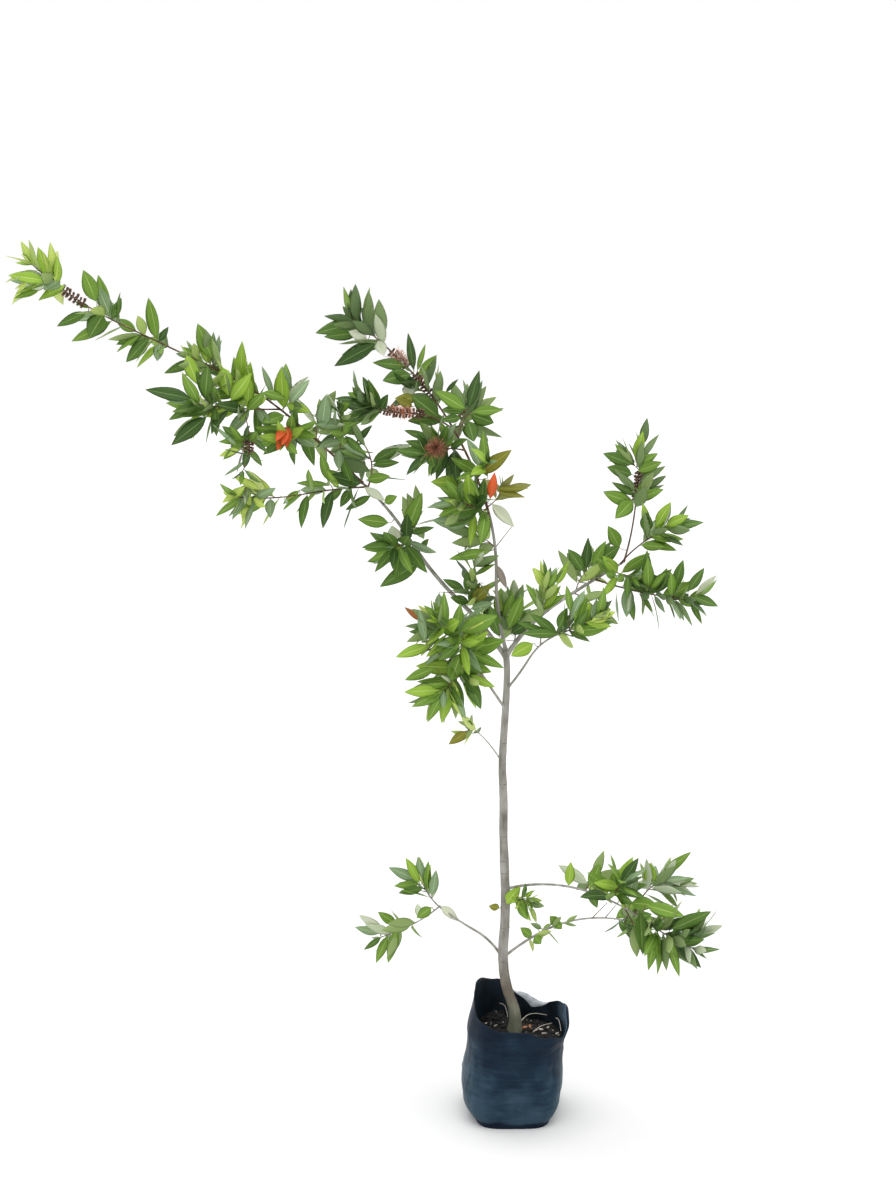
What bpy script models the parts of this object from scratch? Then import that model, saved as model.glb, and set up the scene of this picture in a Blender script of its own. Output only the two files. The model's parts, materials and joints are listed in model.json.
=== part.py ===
"""A young bottlebrush in a black plastic grow bag. Metres, +Z up, origin under the bag's middle.

+X is to the right of the bag and -Y is its front. Every limb is a branch: it leaves its parent at a
share of the parent's length and follows a few headings, blended along its own length. The bare
stretches of the branches are the trunk and the boughs. A leafy stretch or side shoot is the stem of
one mass of foliage, with twigs and leaves set round it by a seeded golden-angle rule.
"""

import math
import random
from collections import namedtuple

import bmesh
import bpy
import numpy as np
from mathutils.bvhtree import BVHTree

MM = 0.001
GAP = 0.3 * MM

# Grow bag and soil, sizes in metres. The rings of the bag are its height, half its width, half its
# depth and how far it leans to the right there.
BAG_SIDES = 24
BAG_WALL = 2.5 * MM
BAG_FLOOR = 3.0 * MM
BAG_RINGS = (
    (0.0, 0.066, 0.086, 0.0), (0.015, 0.080, 0.092, 0.0), (0.03, 0.090, 0.095, 0.0),
    (0.06, 0.0945, 0.096, 0.001), (0.10, 0.0945, 0.095, 0.003), (0.145, 0.091, 0.091, 0.008))
BAG_RIM = (0.091, 0.090, 0.0165)
BAG_FOOT_SQUARENESS = 4.2
BAG_RIM_SQUARENESS = 2.3
BAG_ROUND_HEIGHT = 0.10
RIM_HEIGHTS = (0.208, 0.196, 0.183, 0.200, 0.231, 0.243, 0.232, 0.198, 0.190, 0.189, 0.175, 0.163)
SOIL_TOP = 0.156
SOIL_LUMPS = 2.0 * MM
SOIL_RINGS = (0.75, 0.5)
SOIL_FLAT = 0.022

# Limbs, with lengths in metres, widths in millimetres and headings as (azimuth, elevation) in degrees.
# Azimuth 0 points right, 90 to the back and 180 left.
TRUNK_FOOT = (0.004, 0.0, SOIL_TOP + GAP)
TRUNK_FLARE = 5.0 * MM
TRUNK_FLARE_HEIGHT = 0.022
LEAST_RADIUS = 1.4 * MM
AXIS_STEPS = 48

Branch = namedtuple("Branch", "parent at length base tip turns")
BRANCHES = {
    "trunk": Branch(None, 0.0, 0.747, 21.0, 11.8, (
        (0, 82), (180, 69), (180, 85), (0, 86), (0, 89), (180, 87), (180, 88),
        (0, 89), (180, 86), (0, 86), (0, 87), (0, 88), (180, 84))),
    "leader": Branch("trunk", 1.0, 0.711, 7.0, 2.4, (
        (152, 73), (85, 82), (155, 70), (171, 60), (173, 46), (174, 36))),
    "left": Branch("trunk", 0.98, 0.429, 9.6, 5.2, ((153, 52), (158, 41), (183, 58), (175, 43))),
    "long_left": Branch("left", 1.0, 0.716, 4.8, 1.8, ((203, 43), (203, 40), (200, 25), (201, 25), (207, 42))),
    "right": Branch("trunk", 0.985, 0.325, 9.2, 4.8, ((44, 45), (31, 25), (30, 23))),
    "right_up": Branch("right", 1.0, 0.235, 3.8, 2.2, ((33, 69), (64, 76), (55, 76))),
    "thin_right": Branch("trunk", 0.90, 0.283, 4.8, 2.2, ((308, 42), (306, 50), (322, 22), (318, 28))),
    "side_left": Branch("trunk", 0.85, 0.253, 5.2, 2.8, ((220, 50), (229, 50), (218, 36))),
    "low_left": Branch("trunk", 0.195, 0.240, 5.6, 2.6, ((135, 48), (148, 18), (147, 24), (122, 56))),
    "low_right": Branch("trunk", 0.20, 0.312, 5.4, 2.6, ((41, 22), (35, 12), (32, -5), (31, -19))),
    "right_low": Branch("trunk", 0.382, 0.396, 5.0, 2.4, (
        (333, 22), (335, 4), (332, -14), (328, -26), (330, -14))),
    "long_left_low": Branch("long_left", 0.295, 0.183, 3.2, 2.2, ((221, 0), (227, 7))),
    "hanging": Branch("long_left_low", 0.46, 0.155, 2.2, 1.6, ((300, -43), (254, -40))),
    "inner_up": Branch("long_left", 0.25, 0.050, 2.4, 2.0, ((234, 59), (232, 65))),
    "inner_down": Branch("long_left", 0.23, 0.090, 2.4, 2.0, ((257, -21), (254, -15))),
    "inner_right": Branch("long_left", 0.17, 0.065, 2.4, 2.0, ((96, 42), (80, 52))),
    "young": Branch("long_left", 0.10, 0.107, 2.4, 1.8, ((307, 49), (253, 53))),
    "fork": Branch("left", 0.97, 0.128, 3.4, 2.2, ((58, 52), (149, 35))),
    "left_shoot": Branch("left", 0.975, 0.288, 3.4, 2.0, ((216, 0), (220, -6), (222, 8))),
    "left_side": Branch("left", 0.67, 0.067, 2.4, 2.0, ((244, -11), (241, 1))),
    "left_back": Branch("left", 0.71, 0.051, 2.4, 2.0, ((41, 13), (70, 56))),
    "left_foot": Branch("left", 0.19, 0.113, 2.8, 2.0, ((173, 62), (12, 73))),
    "leader_left": Branch("leader", 0.35, 0.103, 2.6, 2.0, ((238, 32), (226, 8))),
    "leader_low": Branch("leader", 0.27, 0.062, 2.4, 2.0, ((126, 35), (136, 0))),
    "leader_right": Branch("leader", 0.38, 0.051, 2.4, 2.0, ((27, 26), (57, 60))),
    "leader_front": Branch("leader", 0.46, 0.085, 2.4, 2.0, ((287, 21), (281, 25))),
    "flower": Branch("leader", 0.54, 0.111, 2.8, 2.2, ((225, 12), (233, -17))),
    "whorl": Branch("leader", 0.58, 0.082, 3.2, 2.6, ((81, 38), (62, 27))),
    "spike": Branch("leader", 0.60, 0.211, 3.2, 2.2, ((212, 36), (210, 1), (214, 27))),
    "right_foot": Branch("right", 0.08, 0.092, 2.8, 2.0, ((66, 55), (109, 54))),
    "right_top": Branch("right", 0.62, 0.086, 2.4, 2.0, ((74, 39), (47, 17))),
    "bright": Branch("right", 0.60, 0.065, 2.4, 2.0, ((4, -24), (6, -51))),
    "right_drop": Branch("right", 0.77, 0.202, 3.6, 2.2, ((334, -15), (334, -8), (334, -3))),
    "right_under": Branch("right", 0.88, 0.083, 2.4, 2.0, ((297, -1), (296, -2))),
    "right_out": Branch("right", 0.97, 0.134, 3.2, 2.2, ((327, 50), (337, 22))),
    "riser": Branch("thin_right", 0.48, 0.125, 2.6, 1.8, ((266, 80), (316, 75))),
    "side_left_low": Branch("side_left", 0.56, 0.104, 2.8, 2.2, ((237, -19), (247, -28))),
    "small": Branch("trunk", 0.71, 0.095, 2.6, 1.8, ((140, 53), (150, 29))),
    "tuft": Branch("trunk", 0.35, 0.053, 2.4, 1.8, ((322, 29), (325, 2))),
    "low_left_out": Branch("low_left", 0.71, 0.165, 2.8, 2.0, ((146, -43), (149, -31), (152, -25))),
    "right_low_in": Branch("right_low", 0.42, 0.052, 2.4, 2.0, ((73, 30), (42, -3))),
    "right_low_mid": Branch("right_low", 0.54, 0.081, 2.4, 2.0, ((290, 42), (291, 43))),
    "right_low_under": Branch("right_low", 0.62, 0.053, 2.4, 2.0, ((16, -54), (32, -73))),
    "right_low_top": Branch("right_low", 0.68, 0.101, 2.8, 2.0, ((53, 63), (29, 37), (16, -17))),
}

# The bare stretches: node, branch, where the stretch starts and ends, the number of sides, and the
# boughs that it is cut clear of at its foot
Bough = namedtuple("Bough", "branch start end sides clear_of")
BOUGHS = {
    "trunk": Bough("trunk", 0.0, 1.0, 9, ()),
    "leader": Bough("leader", 0.0, 0.67, 7, ("trunk",)),
    "left_bough": Bough("left", 0.0, 1.0, 7, ("trunk", "leader")),
    "long_left_bough": Bough("long_left", 0.0, 0.31, 6, ("left_bough",)),
    "right_bough": Bough("right", 0.0, 1.0, 7, ("trunk", "leader", "left_bough")),
    "upper_right_bough": Bough("right_up", 0.0, 0.30, 6, ("right_bough",)),
    "thin_right_bough": Bough("thin_right", 0.0, 0.5, 6, ("trunk",)),
    "side_left_bough": Bough("side_left", 0.0, 0.58, 6, ("trunk",)),
    "low_left_bough": Bough("low_left", 0.0, 0.73, 6, ("trunk",)),
    "low_right_bough": Bough("low_right", 0.0, 0.19, 6, ("trunk", "low_left_bough")),
    "low_right_bough_end": Bough("low_right", 0.52, 1.0, 6, ()),
    "right_low_bough": Bough("right_low", 0.0, 0.71, 6, ("trunk",)),
}
BOUGH_SPACING = 0.036
STEM_SPACING = 0.028
SEAT_STEP = 0.1 * MM

# Foliage: the stretch of branch that is the mass's stem, where its leaves begin, how many leaves it
# tries, their length, their angle from the stem at its foot and at its tip, how far they turn up,
# side twigs and their length, the seed, and where old seed capsules or a faded flower sit on the stem
Mass = namedtuple(
    "Mass", "branch start end first leaves size spread lift twigs twig_length seed capsules flower",
    defaults=(None, None))
MASSES = {
    "tip_spray": Mass("long_left", 0.83, 1.0, 0.50, 10, 0.072, (60, 30), -0.3, 0, 0, 37, (0.08, 0.48)),
    "outer_spray": Mass("long_left", 0.73, 0.83, 0.05, 10, 0.078, (70, 50), 0.1, 0, 0, 12),
    "middle_spray": Mass("long_left", 0.56, 0.73, 0.30, 11, 0.074, (70, 45), -0.3, 0, 0, 52),
    "upper_spray": Mass("long_left", 0.31, 0.56, 0.08, 22, 0.080, (65, 45), 0.3, 2, 0.04, 42),
    "low_spray": Mass("long_left_low", 0.0, 1.0, 0.25, 26, 0.082, (65, 35), 0.3, 2, 0.035, 34),
    "hanging_spray": Mass("hanging", 0.0, 1.0, 0.15, 12, 0.056, (70, 50), 0.3, 0, 0, 47, (0.5, 0.68)),
    "inner_upper_spray": Mass("inner_up", 0.0, 1.0, 0.15, 12, 0.078, (70, 40), -0.3, 0, 0, 15),
    "inner_lower_spray": Mass("inner_down", 0.0, 1.0, 0.2, 11, 0.070, (70, 40), 0.3, 0, 0, 17),
    "inner_back_spray": Mass("inner_right", 0.0, 1.0, 0.1, 9, 0.078, (75, 45), -0.3, 0, 0, 24),
    "young_tuft": Mass("young", 0.0, 1.0, 0.1, 18, 0.062, (65, 30), -0.3, 1, 0.03, 43),
    "fork_tuft": Mass("fork", 0.0, 1.0, 0.15, 13, 0.080, (65, 40), -0.3, 1, 0.04, 24),
    "left_shoot_inner": Mass("left_shoot", 0.0, 0.56, 0.08, 17, 0.074, (75, 60), -0.35, 1, 0.03, 60),
    "left_shoot_tip": Mass("left_shoot", 0.56, 1.0, 0.15, 21, 0.068, (65, 30), -0.3, 2, 0.03, 28),
    "bough_left_tuft": Mass("left_side", 0.0, 1.0, 0.1, 13, 0.080, (75, 40), -0.3, 0, 0, 16),
    "bough_back_tuft": Mass("left_back", 0.0, 1.0, 0.15, 8, 0.072, (70, 40), -0.3, 0, 0, 11),
    "leader_left_tuft": Mass("leader_left", 0.0, 1.0, 0.15, 16, 0.080, (70, 35), 0.3, 1, 0.03, 31),
    "leader_low_tuft": Mass("leader_low", 0.0, 1.0, 0.15, 10, 0.080, (75, 40), 0.3, 0, 0, 10),
    "leader_right_tuft": Mass("leader_right", 0.0, 1.0, 0.15, 9, 0.078, (70, 40), 0.0, 0, 0, 32),
    "leader_front_tuft": Mass("leader_front", 0.0, 1.0, 0.2, 9, 0.072, (70, 40), 0.3, 0, 0, 23),
    "whorl_tuft": Mass("whorl", 0.0, 1.0, 0.35, 20, 0.080, (85, 25), 0.0, 0, 0, 51),
    "flower_tuft": Mass("flower", 0.0, 1.0, 0.2, 22, 0.070, (80, 40), 0.1, 1, 0.03, 1, None, 0.62),
    "spike_tuft": Mass("spike", 0.0, 1.0, 0.74, 11, 0.072, (50, 30), 0.1, 0, 0, 53, (0.28, 0.7)),
    "leader_upper_tuft": Mass("leader", 0.67, 0.79, 0.02, 17, 0.076, (70, 50), 0.1, 1, 0.03, 5, (0.2, 0.9)),
    "top_tuft": Mass("leader", 0.79, 1.0, 0.45, 15, 0.086, (65, 35), 0.1, 1, 0.03, 58, (0.06, 0.36)),
    "upper_right_tuft": Mass("right_up", 0.30, 1.0, 0.2, 26, 0.068, (80, 30), 0.3, 2, 0.03, 22, (0.3, 0.66)),
    "outer_right_tuft": Mass("right_out", 0.0, 1.0, 0.45, 12, 0.072, (60, 30), 0.0, 0, 0, 47),
    "lower_right_tuft": Mass("right_drop", 0.0, 1.0, 0.2, 24, 0.074, (70, 40), 0.1, 1, 0.03, 55),
    "right_top_tuft": Mass("right_top", 0.0, 1.0, 0.1, 15, 0.072, (75, 40), 0.3, 1, 0.03, 41),
    "right_under_tuft": Mass("right_under", 0.0, 1.0, 0.15, 11, 0.074, (75, 40), -0.3, 0, 0, 17),
    "bright_tuft": Mass("bright", 0.0, 1.0, 0.2, 9, 0.062, (70, 40), -0.1, 0, 0, 52),
    "thin_right_tuft": Mass("thin_right", 0.5, 1.0, 0.1, 15, 0.068, (60, 30), 0.3, 1, 0.03, 59),
    "riser_tuft": Mass("riser", 0.0, 1.0, 0.4, 12, 0.058, (55, 30), 0.3, 0, 0, 1),
    "side_left_upper_tuft": Mass("side_left", 0.58, 1.0, 0.1, 28, 0.084, (70, 40), -0.3, 2, 0.04, 58),
    "side_left_lower_tuft": Mass("side_left_low", 0.0, 1.0, 0.2, 24, 0.078, (75, 45), -0.3, 2, 0.03, 34),
    "left_foot_tuft": Mass("left_foot", 0.0, 1.0, 0.25, 18, 0.072, (65, 30), -0.3, 1, 0.03, 59),
    "right_foot_tuft": Mass("right_foot", 0.0, 1.0, 0.25, 18, 0.070, (65, 40), -0.1, 1, 0.03, 24),
    "small_tuft": Mass("small", 0.0, 1.0, 0.75, 4, 0.050, (60, 40), -0.3, 0, 0, 59),
    "low_left_tuft": Mass("low_left", 0.73, 1.0, 0.2, 13, 0.058, (60, 30), 0.3, 1, 0.02, 10),
    "low_left_end_tuft": Mass("low_left_out", 0.0, 1.0, 0.3, 9, 0.064, (65, 35), 0.1, 0, 0, 31),
    "trunk_tuft": Mass("tuft", 0.0, 1.0, 0.3, 8, 0.046, (70, 40), 0.0, 0, 0, 30),
    "low_right_pairs": Mass("low_right", 0.19, 0.52, 0.05, 7, 0.038, (65, 60), -0.3, 0, 0, 13),
    "right_low_inner_tuft": Mass("right_low_in", 0.0, 1.0, 0.2, 12, 0.074, (75, 40), -0.3, 0, 0, 57),
    "right_low_middle_tuft": Mass("right_low_mid", 0.0, 1.0, 0.15, 14, 0.074, (70, 40), 0.0, 0, 0, 59),
    "right_low_under_tuft": Mass("right_low_under", 0.0, 1.0, 0.2, 9, 0.074, (70, 40), 0.3, 0, 0, 50),
    "right_low_end_tuft": Mass("right_low", 0.71, 1.0, 0.05, 30, 0.076, (70, 35), 0.3, 2, 0.04, 57),
    "right_low_top_tuft": Mass("right_low_top", 0.0, 1.0, 0.4, 15, 0.068, (65, 35), -0.1, 1, 0.03, 35),
}

# Leaves and twigs
Leaf = namedtuple("Leaf", "root way normal length width bend")
GOLDEN_ANGLE = 137.5
TURN_DRIFT = 25
ANGLE_DRIFT = 10
LEAF_LENGTHS = (0.82, 1.12)
LEAF_WIDTHS = (0.25, 0.31)
LEAF_TILTS = (-50, 50)
LEAF_BENDS = (-0.16, 0.10)
LEAF_THICKNESS = 1.4 * MM
LEAF_STALK_DEPTH = 1.0 * MM
LEAF_WIDEST = 0.42
LEAF_ROOM = 1.0 * MM
OWN_CROSSING = 0.25
OTHERS_CROSSING = 0.12
TWIG_ANGLES = (40, 60)
TWIG_LAST = 0.85
TWIG_LEAVES_FROM = 0.35
TWIG_LEAF_SIZE = 0.9
TWIG_SPREAD = (60, 30)
TWIG_RADII = (1.3 * MM, 1.1 * MM)
TWIG_SIDES = 3
TWIG_STEPS = 4

# Seed capsules in a sleeve, and the faded flower, both fused to their stems
CAPSULE_PITCH = 9.0 * MM
CAPSULE_RADII = (2.6 * MM, 5.2 * MM)
CAPSULE_SIDES = 5
FLOWER_LENGTH = 0.026
FLOWER_RADIUS = 0.0115
FLOWER_STATIONS = ((-0.5, 0.45), (-0.25, 1.0), (0.25, 0.9), (0.5, 0.35))
FLOWER_SIDES = 7

# Colour, roughness and metallic value of each kind of part
FILM = ((0.012, 0.016, 0.022), 0.38, 0.0)
SOIL = ((0.035, 0.022, 0.016), 0.95, 0.0)
BARK = ((0.30, 0.25, 0.20), 0.85, 0.0)
LEAF_GREEN = ((0.10, 0.25, 0.04), 0.55, 0.0)
YOUNG_GREEN = ((0.36, 0.50, 0.06), 0.55, 0.0)
YOUNG_MASSES = ("tip_spray", "left_shoot_tip", "riser_tuft", "bright_tuft", "low_left_tuft", "inner_upper_spray")


def heading(azimuth, elevation):
    """Unit vector for an azimuth and an elevation in degrees."""
    a = math.radians(azimuth)
    e = math.radians(elevation)
    return np.array([math.cos(e) * math.cos(a), math.cos(e) * math.sin(a), math.sin(e)])


def unit(vector):
    return vector / np.linalg.norm(vector)


def axis_of(start, length, turns):
    """Points along a branch that follows its headings, blended along its length."""
    heads = [heading(*turn) for turn in turns]
    spans = len(heads) - 1
    points = [np.array(start, float)]
    for step in range(AXIS_STEPS):
        place = (step + 0.5) / AXIS_STEPS * spans
        span = min(int(place), spans - 1)
        way = heads[span] * (1 - (place - span)) + heads[span + 1] * (place - span)
        points.append(points[-1] + unit(way) * length / AXIS_STEPS)
    return np.array(points)


def point_on(axis, share):
    place = share * (len(axis) - 1)
    low = min(int(place), len(axis) - 2)
    return axis[low] + (axis[low + 1] - axis[low]) * (place - low)


def way_on(axis, share):
    low = min(int(share * (len(axis) - 1)), len(axis) - 2)
    return unit(axis[low + 1] - axis[low])


def all_axes():
    """The axis of every branch, from the trunk outwards."""
    axes = {}
    for name, branch in BRANCHES.items():
        start = point_on(axes[branch.parent], branch.at) if branch.parent else TRUNK_FOOT
        axes[name] = axis_of(start, branch.length, branch.turns)
    return axes


def radius_on(name, share):
    """Half the width of a branch, with the flare at the trunk's foot."""
    branch = BRANCHES[name]
    radius = max((branch.base + (branch.tip - branch.base) * share) / 2 * MM, LEAST_RADIUS)
    if name == "trunk":
        radius += TRUNK_FLARE * math.exp(-share * branch.length / TRUNK_FLARE_HEIGHT)
    return radius


def clear_start(name, axes, start):
    """Where a stretch begins on its branch, so that its end is a gap away from what carries it."""
    branch = BRANCHES[name]
    if start > 0:
        return start + GAP / branch.length
    radius = radius_on(name, 0)
    cosine = abs(float(way_on(axes[name], 0).dot(way_on(axes[branch.parent], branch.at))))
    sine = math.sqrt(1 - cosine * cosine)
    if branch.at == 1.0:
        return (GAP + radius * sine) / cosine / branch.length
    return (radius_on(branch.parent, branch.at) + GAP + radius * cosine) / sine / branch.length


def side_frame(way):
    """Two directions square to a limb, the first one level."""
    side = np.cross(way, (0, 0, 1))
    if np.linalg.norm(side) < 0.05:
        side = np.cross(way, (0, 1, 0))
    side = unit(side)
    return side, np.cross(side, way)


def beside(way, turn):
    """The direction square to a limb at a turn round it in degrees."""
    side, over = side_frame(way)
    return side * math.cos(math.radians(turn)) + over * math.sin(math.radians(turn))


def leaves_on(axis, first, last, count, size, spread, lift, draw):
    """Leaves in a golden-angle spiral on one stretch of a stem or twig."""
    leaves = []
    phase = draw.uniform(0, 360)
    for number in range(count):
        share = (number + 0.5) / count
        place = first + (last - first) * share
        stem = way_on(axis, place)
        side = beside(stem, phase + number * GOLDEN_ANGLE + draw.uniform(-TURN_DRIFT, TURN_DRIFT))
        angle = spread[0] + (spread[1] - spread[0]) * share + draw.uniform(-ANGLE_DRIFT, ANGLE_DRIFT)
        angle = math.radians(angle)
        way = unit(stem * math.cos(angle) + side * math.sin(angle) + np.array([0, 0, lift]))
        length = size * (1.05 - 0.25 * share) * draw.uniform(*LEAF_LENGTHS)
        normal = stem - way * stem.dot(way)
        normal = unit(normal) if np.linalg.norm(normal) > 0.05 else side_frame(way)[1]
        tilt = math.radians(draw.uniform(*LEAF_TILTS))
        normal = normal * math.cos(tilt) + np.cross(way, normal) * math.sin(tilt)
        width = length * draw.uniform(*LEAF_WIDTHS)
        leaves.append(Leaf(point_on(axis, place), way, normal, length, width, draw.uniform(*LEAF_BENDS)))
    return leaves


def twigs_on(axis, mass, draw):
    """Side twigs in a golden-angle spiral on the leafy part of the stem."""
    twigs = []
    phase = draw.uniform(0, 360)
    for number in range(mass.twigs):
        share = mass.first + (TWIG_LAST - mass.first) * (number + 0.5) / mass.twigs
        place = mass.start + (mass.end - mass.start) * share
        stem = way_on(axis, place)
        angle = math.radians(draw.uniform(*TWIG_ANGLES))
        way = unit(stem * math.cos(angle) + beside(stem, phase + number * GOLDEN_ANGLE) * math.sin(angle))
        length = mass.twig_length * draw.uniform(0.8, 1.2)
        root = point_on(axis, place)
        twigs.append(np.array([root + way * length * step / TWIG_STEPS for step in range(TWIG_STEPS + 1)]))
    return twigs


def sprouts(mass, axis):
    """What one mass tries to grow: the leaves on its stem, and each twig with its leaves."""
    draw = random.Random(mass.seed)
    twigs = twigs_on(axis, mass, draw)
    on_twig = max(3, mass.leaves // 4) if twigs else 0
    on_stem = mass.leaves - on_twig * len(twigs)
    first = mass.start + (mass.end - mass.start) * mass.first
    leaves = leaves_on(axis, first, mass.end, on_stem, mass.size, mass.spread, mass.lift, draw)
    small = mass.size * TWIG_LEAF_SIZE
    return leaves, [
        (twig, leaves_on(twig, TWIG_LEAVES_FROM, 1.0, on_twig, small, TWIG_SPREAD, mass.lift, draw))
        for twig in twigs]


def leaf_point(leaf, share, across, down):
    """A point of a leaf, from its share of the length, its place across and its depth below the blade."""
    curve = leaf.normal * (leaf.bend * leaf.length * share * share - down)
    return leaf.root + leaf.way * leaf.length * share + curve + np.cross(leaf.normal, leaf.way) * across


def leaf_solid(leaf):
    """A thin closed leaf with a narrow deep stalk, its widest place, a keel below and a pointed tip."""
    half = leaf.width / 2
    points = [
        leaf_point(leaf, 0, 0, -LEAF_STALK_DEPTH / 2),
        leaf_point(leaf, 0, 0, LEAF_STALK_DEPTH / 2),
        leaf_point(leaf, LEAF_WIDEST, -half, 0),
        leaf_point(leaf, LEAF_WIDEST, half, 0),
        leaf_point(leaf, LEAF_WIDEST, 0, LEAF_THICKNESS),
        leaf_point(leaf, 1, 0, 0),
    ]
    faces = [(0, 2, 3), (2, 5, 3), (0, 1, 2), (1, 4, 2), (0, 3, 1), (1, 3, 4), (2, 4, 5), (3, 5, 4)]
    return points, faces


def leaf_guard(leaf, first, room):
    """A four-sided spindle round the free part of a leaf, with some room on every side."""
    wide = leaf.width / 2 + room
    points = [
        leaf_point(leaf, first, 0, 0),
        leaf_point(leaf, LEAF_WIDEST, -wide, 0),
        leaf_point(leaf, LEAF_WIDEST, 0, -room),
        leaf_point(leaf, LEAF_WIDEST, wide, 0),
        leaf_point(leaf, LEAF_WIDEST, 0, LEAF_THICKNESS + room),
        leaf_point(leaf, 1 + room / leaf.length, 0, 0),
    ]
    return points, [(end, 1 + side, 1 + (side + 1) % 4) for end in (0, 5) for side in range(4)]


def tube(points, radii, sides):
    """A closed tube through points, with flat ends."""
    points = np.array(points)
    ways = np.gradient(points, axis=0)
    side = side_frame(unit(ways[0]))[0]
    ring_points = []
    for point, way, radius in zip(points, ways, radii):
        way = unit(way)
        side = unit(side - way * side.dot(way))
        over = np.cross(way, side)
        for corner in range(sides):
            turn = 2 * math.pi * corner / sides
            ring_points.append(point + (side * math.cos(turn) + over * math.sin(turn)) * radius)
    return ring_points, ring_faces(len(points), sides)


def ring_faces(rings, sides):
    """The faces of a closed shape made of rings, with a flat face at each end."""
    faces = [tuple(range(sides)), tuple(range((rings - 1) * sides, rings * sides))]
    for ring in range(rings - 1):
        for corner in range(sides):
            low = ring * sides + corner
            low_next = ring * sides + (corner + 1) % sides
            faces.append((low, low_next, low_next + sides))
            faces.append((low, low_next + sides, low + sides))
    return faces


def stretch(name, axes, start, end, spacing, sides, extra=0.0):
    """The tube of one stretch of a branch."""
    count = max(2, math.ceil((end - start) * BRANCHES[name].length / spacing) + 1)
    shares = [start + (end - start) * number / (count - 1) for number in range(count)]
    if name == "trunk":
        shares += [TRUNK_FLARE_HEIGHT * part / BRANCHES[name].length for part in (0.35, 0.7)]
        shares.sort()
    points, faces = tube(
        [point_on(axes[name], share) for share in shares],
        [radius_on(name, share) + extra for share in shares], sides)
    if name == "trunk":
        for point in points[:sides]:
            point[2] = TRUNK_FOOT[2]
    return points, faces


def bough_shape(name, axes, extra=0.0):
    """A bough's tube. A side bough starts on its parent's axis and is cut clear of it afterwards."""
    bough = BOUGHS[name]
    start = bough.start
    if start > 0 or BRANCHES[bough.branch].at == 1.0:
        start = clear_start(bough.branch, axes, start)
    return stretch(bough.branch, axes, start, bough.end, BOUGH_SPACING, bough.sides, extra)


def capsule_sleeve(mass, axes):
    """A bumpy sleeve of old seed capsules round the stem."""
    first, last = (mass.start + (mass.end - mass.start) * share for share in mass.capsules)
    count = 2 * max(2, round((last - first) * BRANCHES[mass.branch].length / CAPSULE_PITCH)) + 1
    points = [point_on(axes[mass.branch], first + (last - first) * n / (count - 1)) for n in range(count)]
    return tube(points, [CAPSULE_RADII[n % 2] for n in range(count)], CAPSULE_SIDES)


def flower_head(mass, axes):
    """The faded flower, a short blunt brush round the stem."""
    axis = axes[mass.branch]
    middle = point_on(axis, mass.flower)
    way = way_on(axis, mass.flower)
    points = [middle + way * FLOWER_LENGTH * share for share, _ in FLOWER_STATIONS]
    return tube(points, [FLOWER_RADIUS * wide for _, wide in FLOWER_STATIONS], FLOWER_SIDES)


def clearance(end_points, trees):
    """The least distance from the end face of a stem to some wood."""
    points = list(end_points) + [(a + b) / 2 for a, b in zip(end_points, end_points[1:] + end_points[:1])]
    return min(tree.find_nearest(point)[3] for point in points for tree in trees)


def stem_tube(mass, axes, carriers):
    """The tube of a mass's stem, which begins as low on a side branch as leaves a gap to its carrier."""
    start = clear_start(mass.branch, axes, mass.start)
    shape = stretch(mass.branch, axes, start, mass.end, STEM_SPACING, TWIG_SIDES)
    while mass.start == 0 and start > 0:
        start -= SEAT_STEP / BRANCHES[mass.branch].length
        lower = stretch(mass.branch, axes, start, mass.end, STEM_SPACING, TWIG_SIDES)
        if clearance(lower[0][:TWIG_SIDES], carriers) < GAP:
            break
        shape = lower
    return shape


def stem_shapes(mass, axes, carriers):
    """The tube of a mass's stem, with its capsules and its flower."""
    shapes = [stem_tube(mass, axes, carriers)]
    if mass.capsules:
        shapes.append(capsule_sleeve(mass, axes))
    if mass.flower:
        shapes.append(flower_head(mass, axes))
    return shapes


def twig_shape(twig, extra=0.0):
    return tube(twig, np.linspace(*TWIG_RADII, len(twig)) + extra, TWIG_SIDES)


def tree_of(shapes):
    """A search tree over the faces of several shapes."""
    points = []
    faces = []
    for shape_points, shape_faces in shapes:
        base = len(points)
        points += [tuple(point) for point in shape_points]
        faces += [tuple(index + base for index in face) for face in shape_faces]
    return BVHTree.FromPolygons(points, faces)


def meets(shape, trees):
    own = tree_of([shape])
    return any(own.overlap(tree) for tree in trees)


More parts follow.
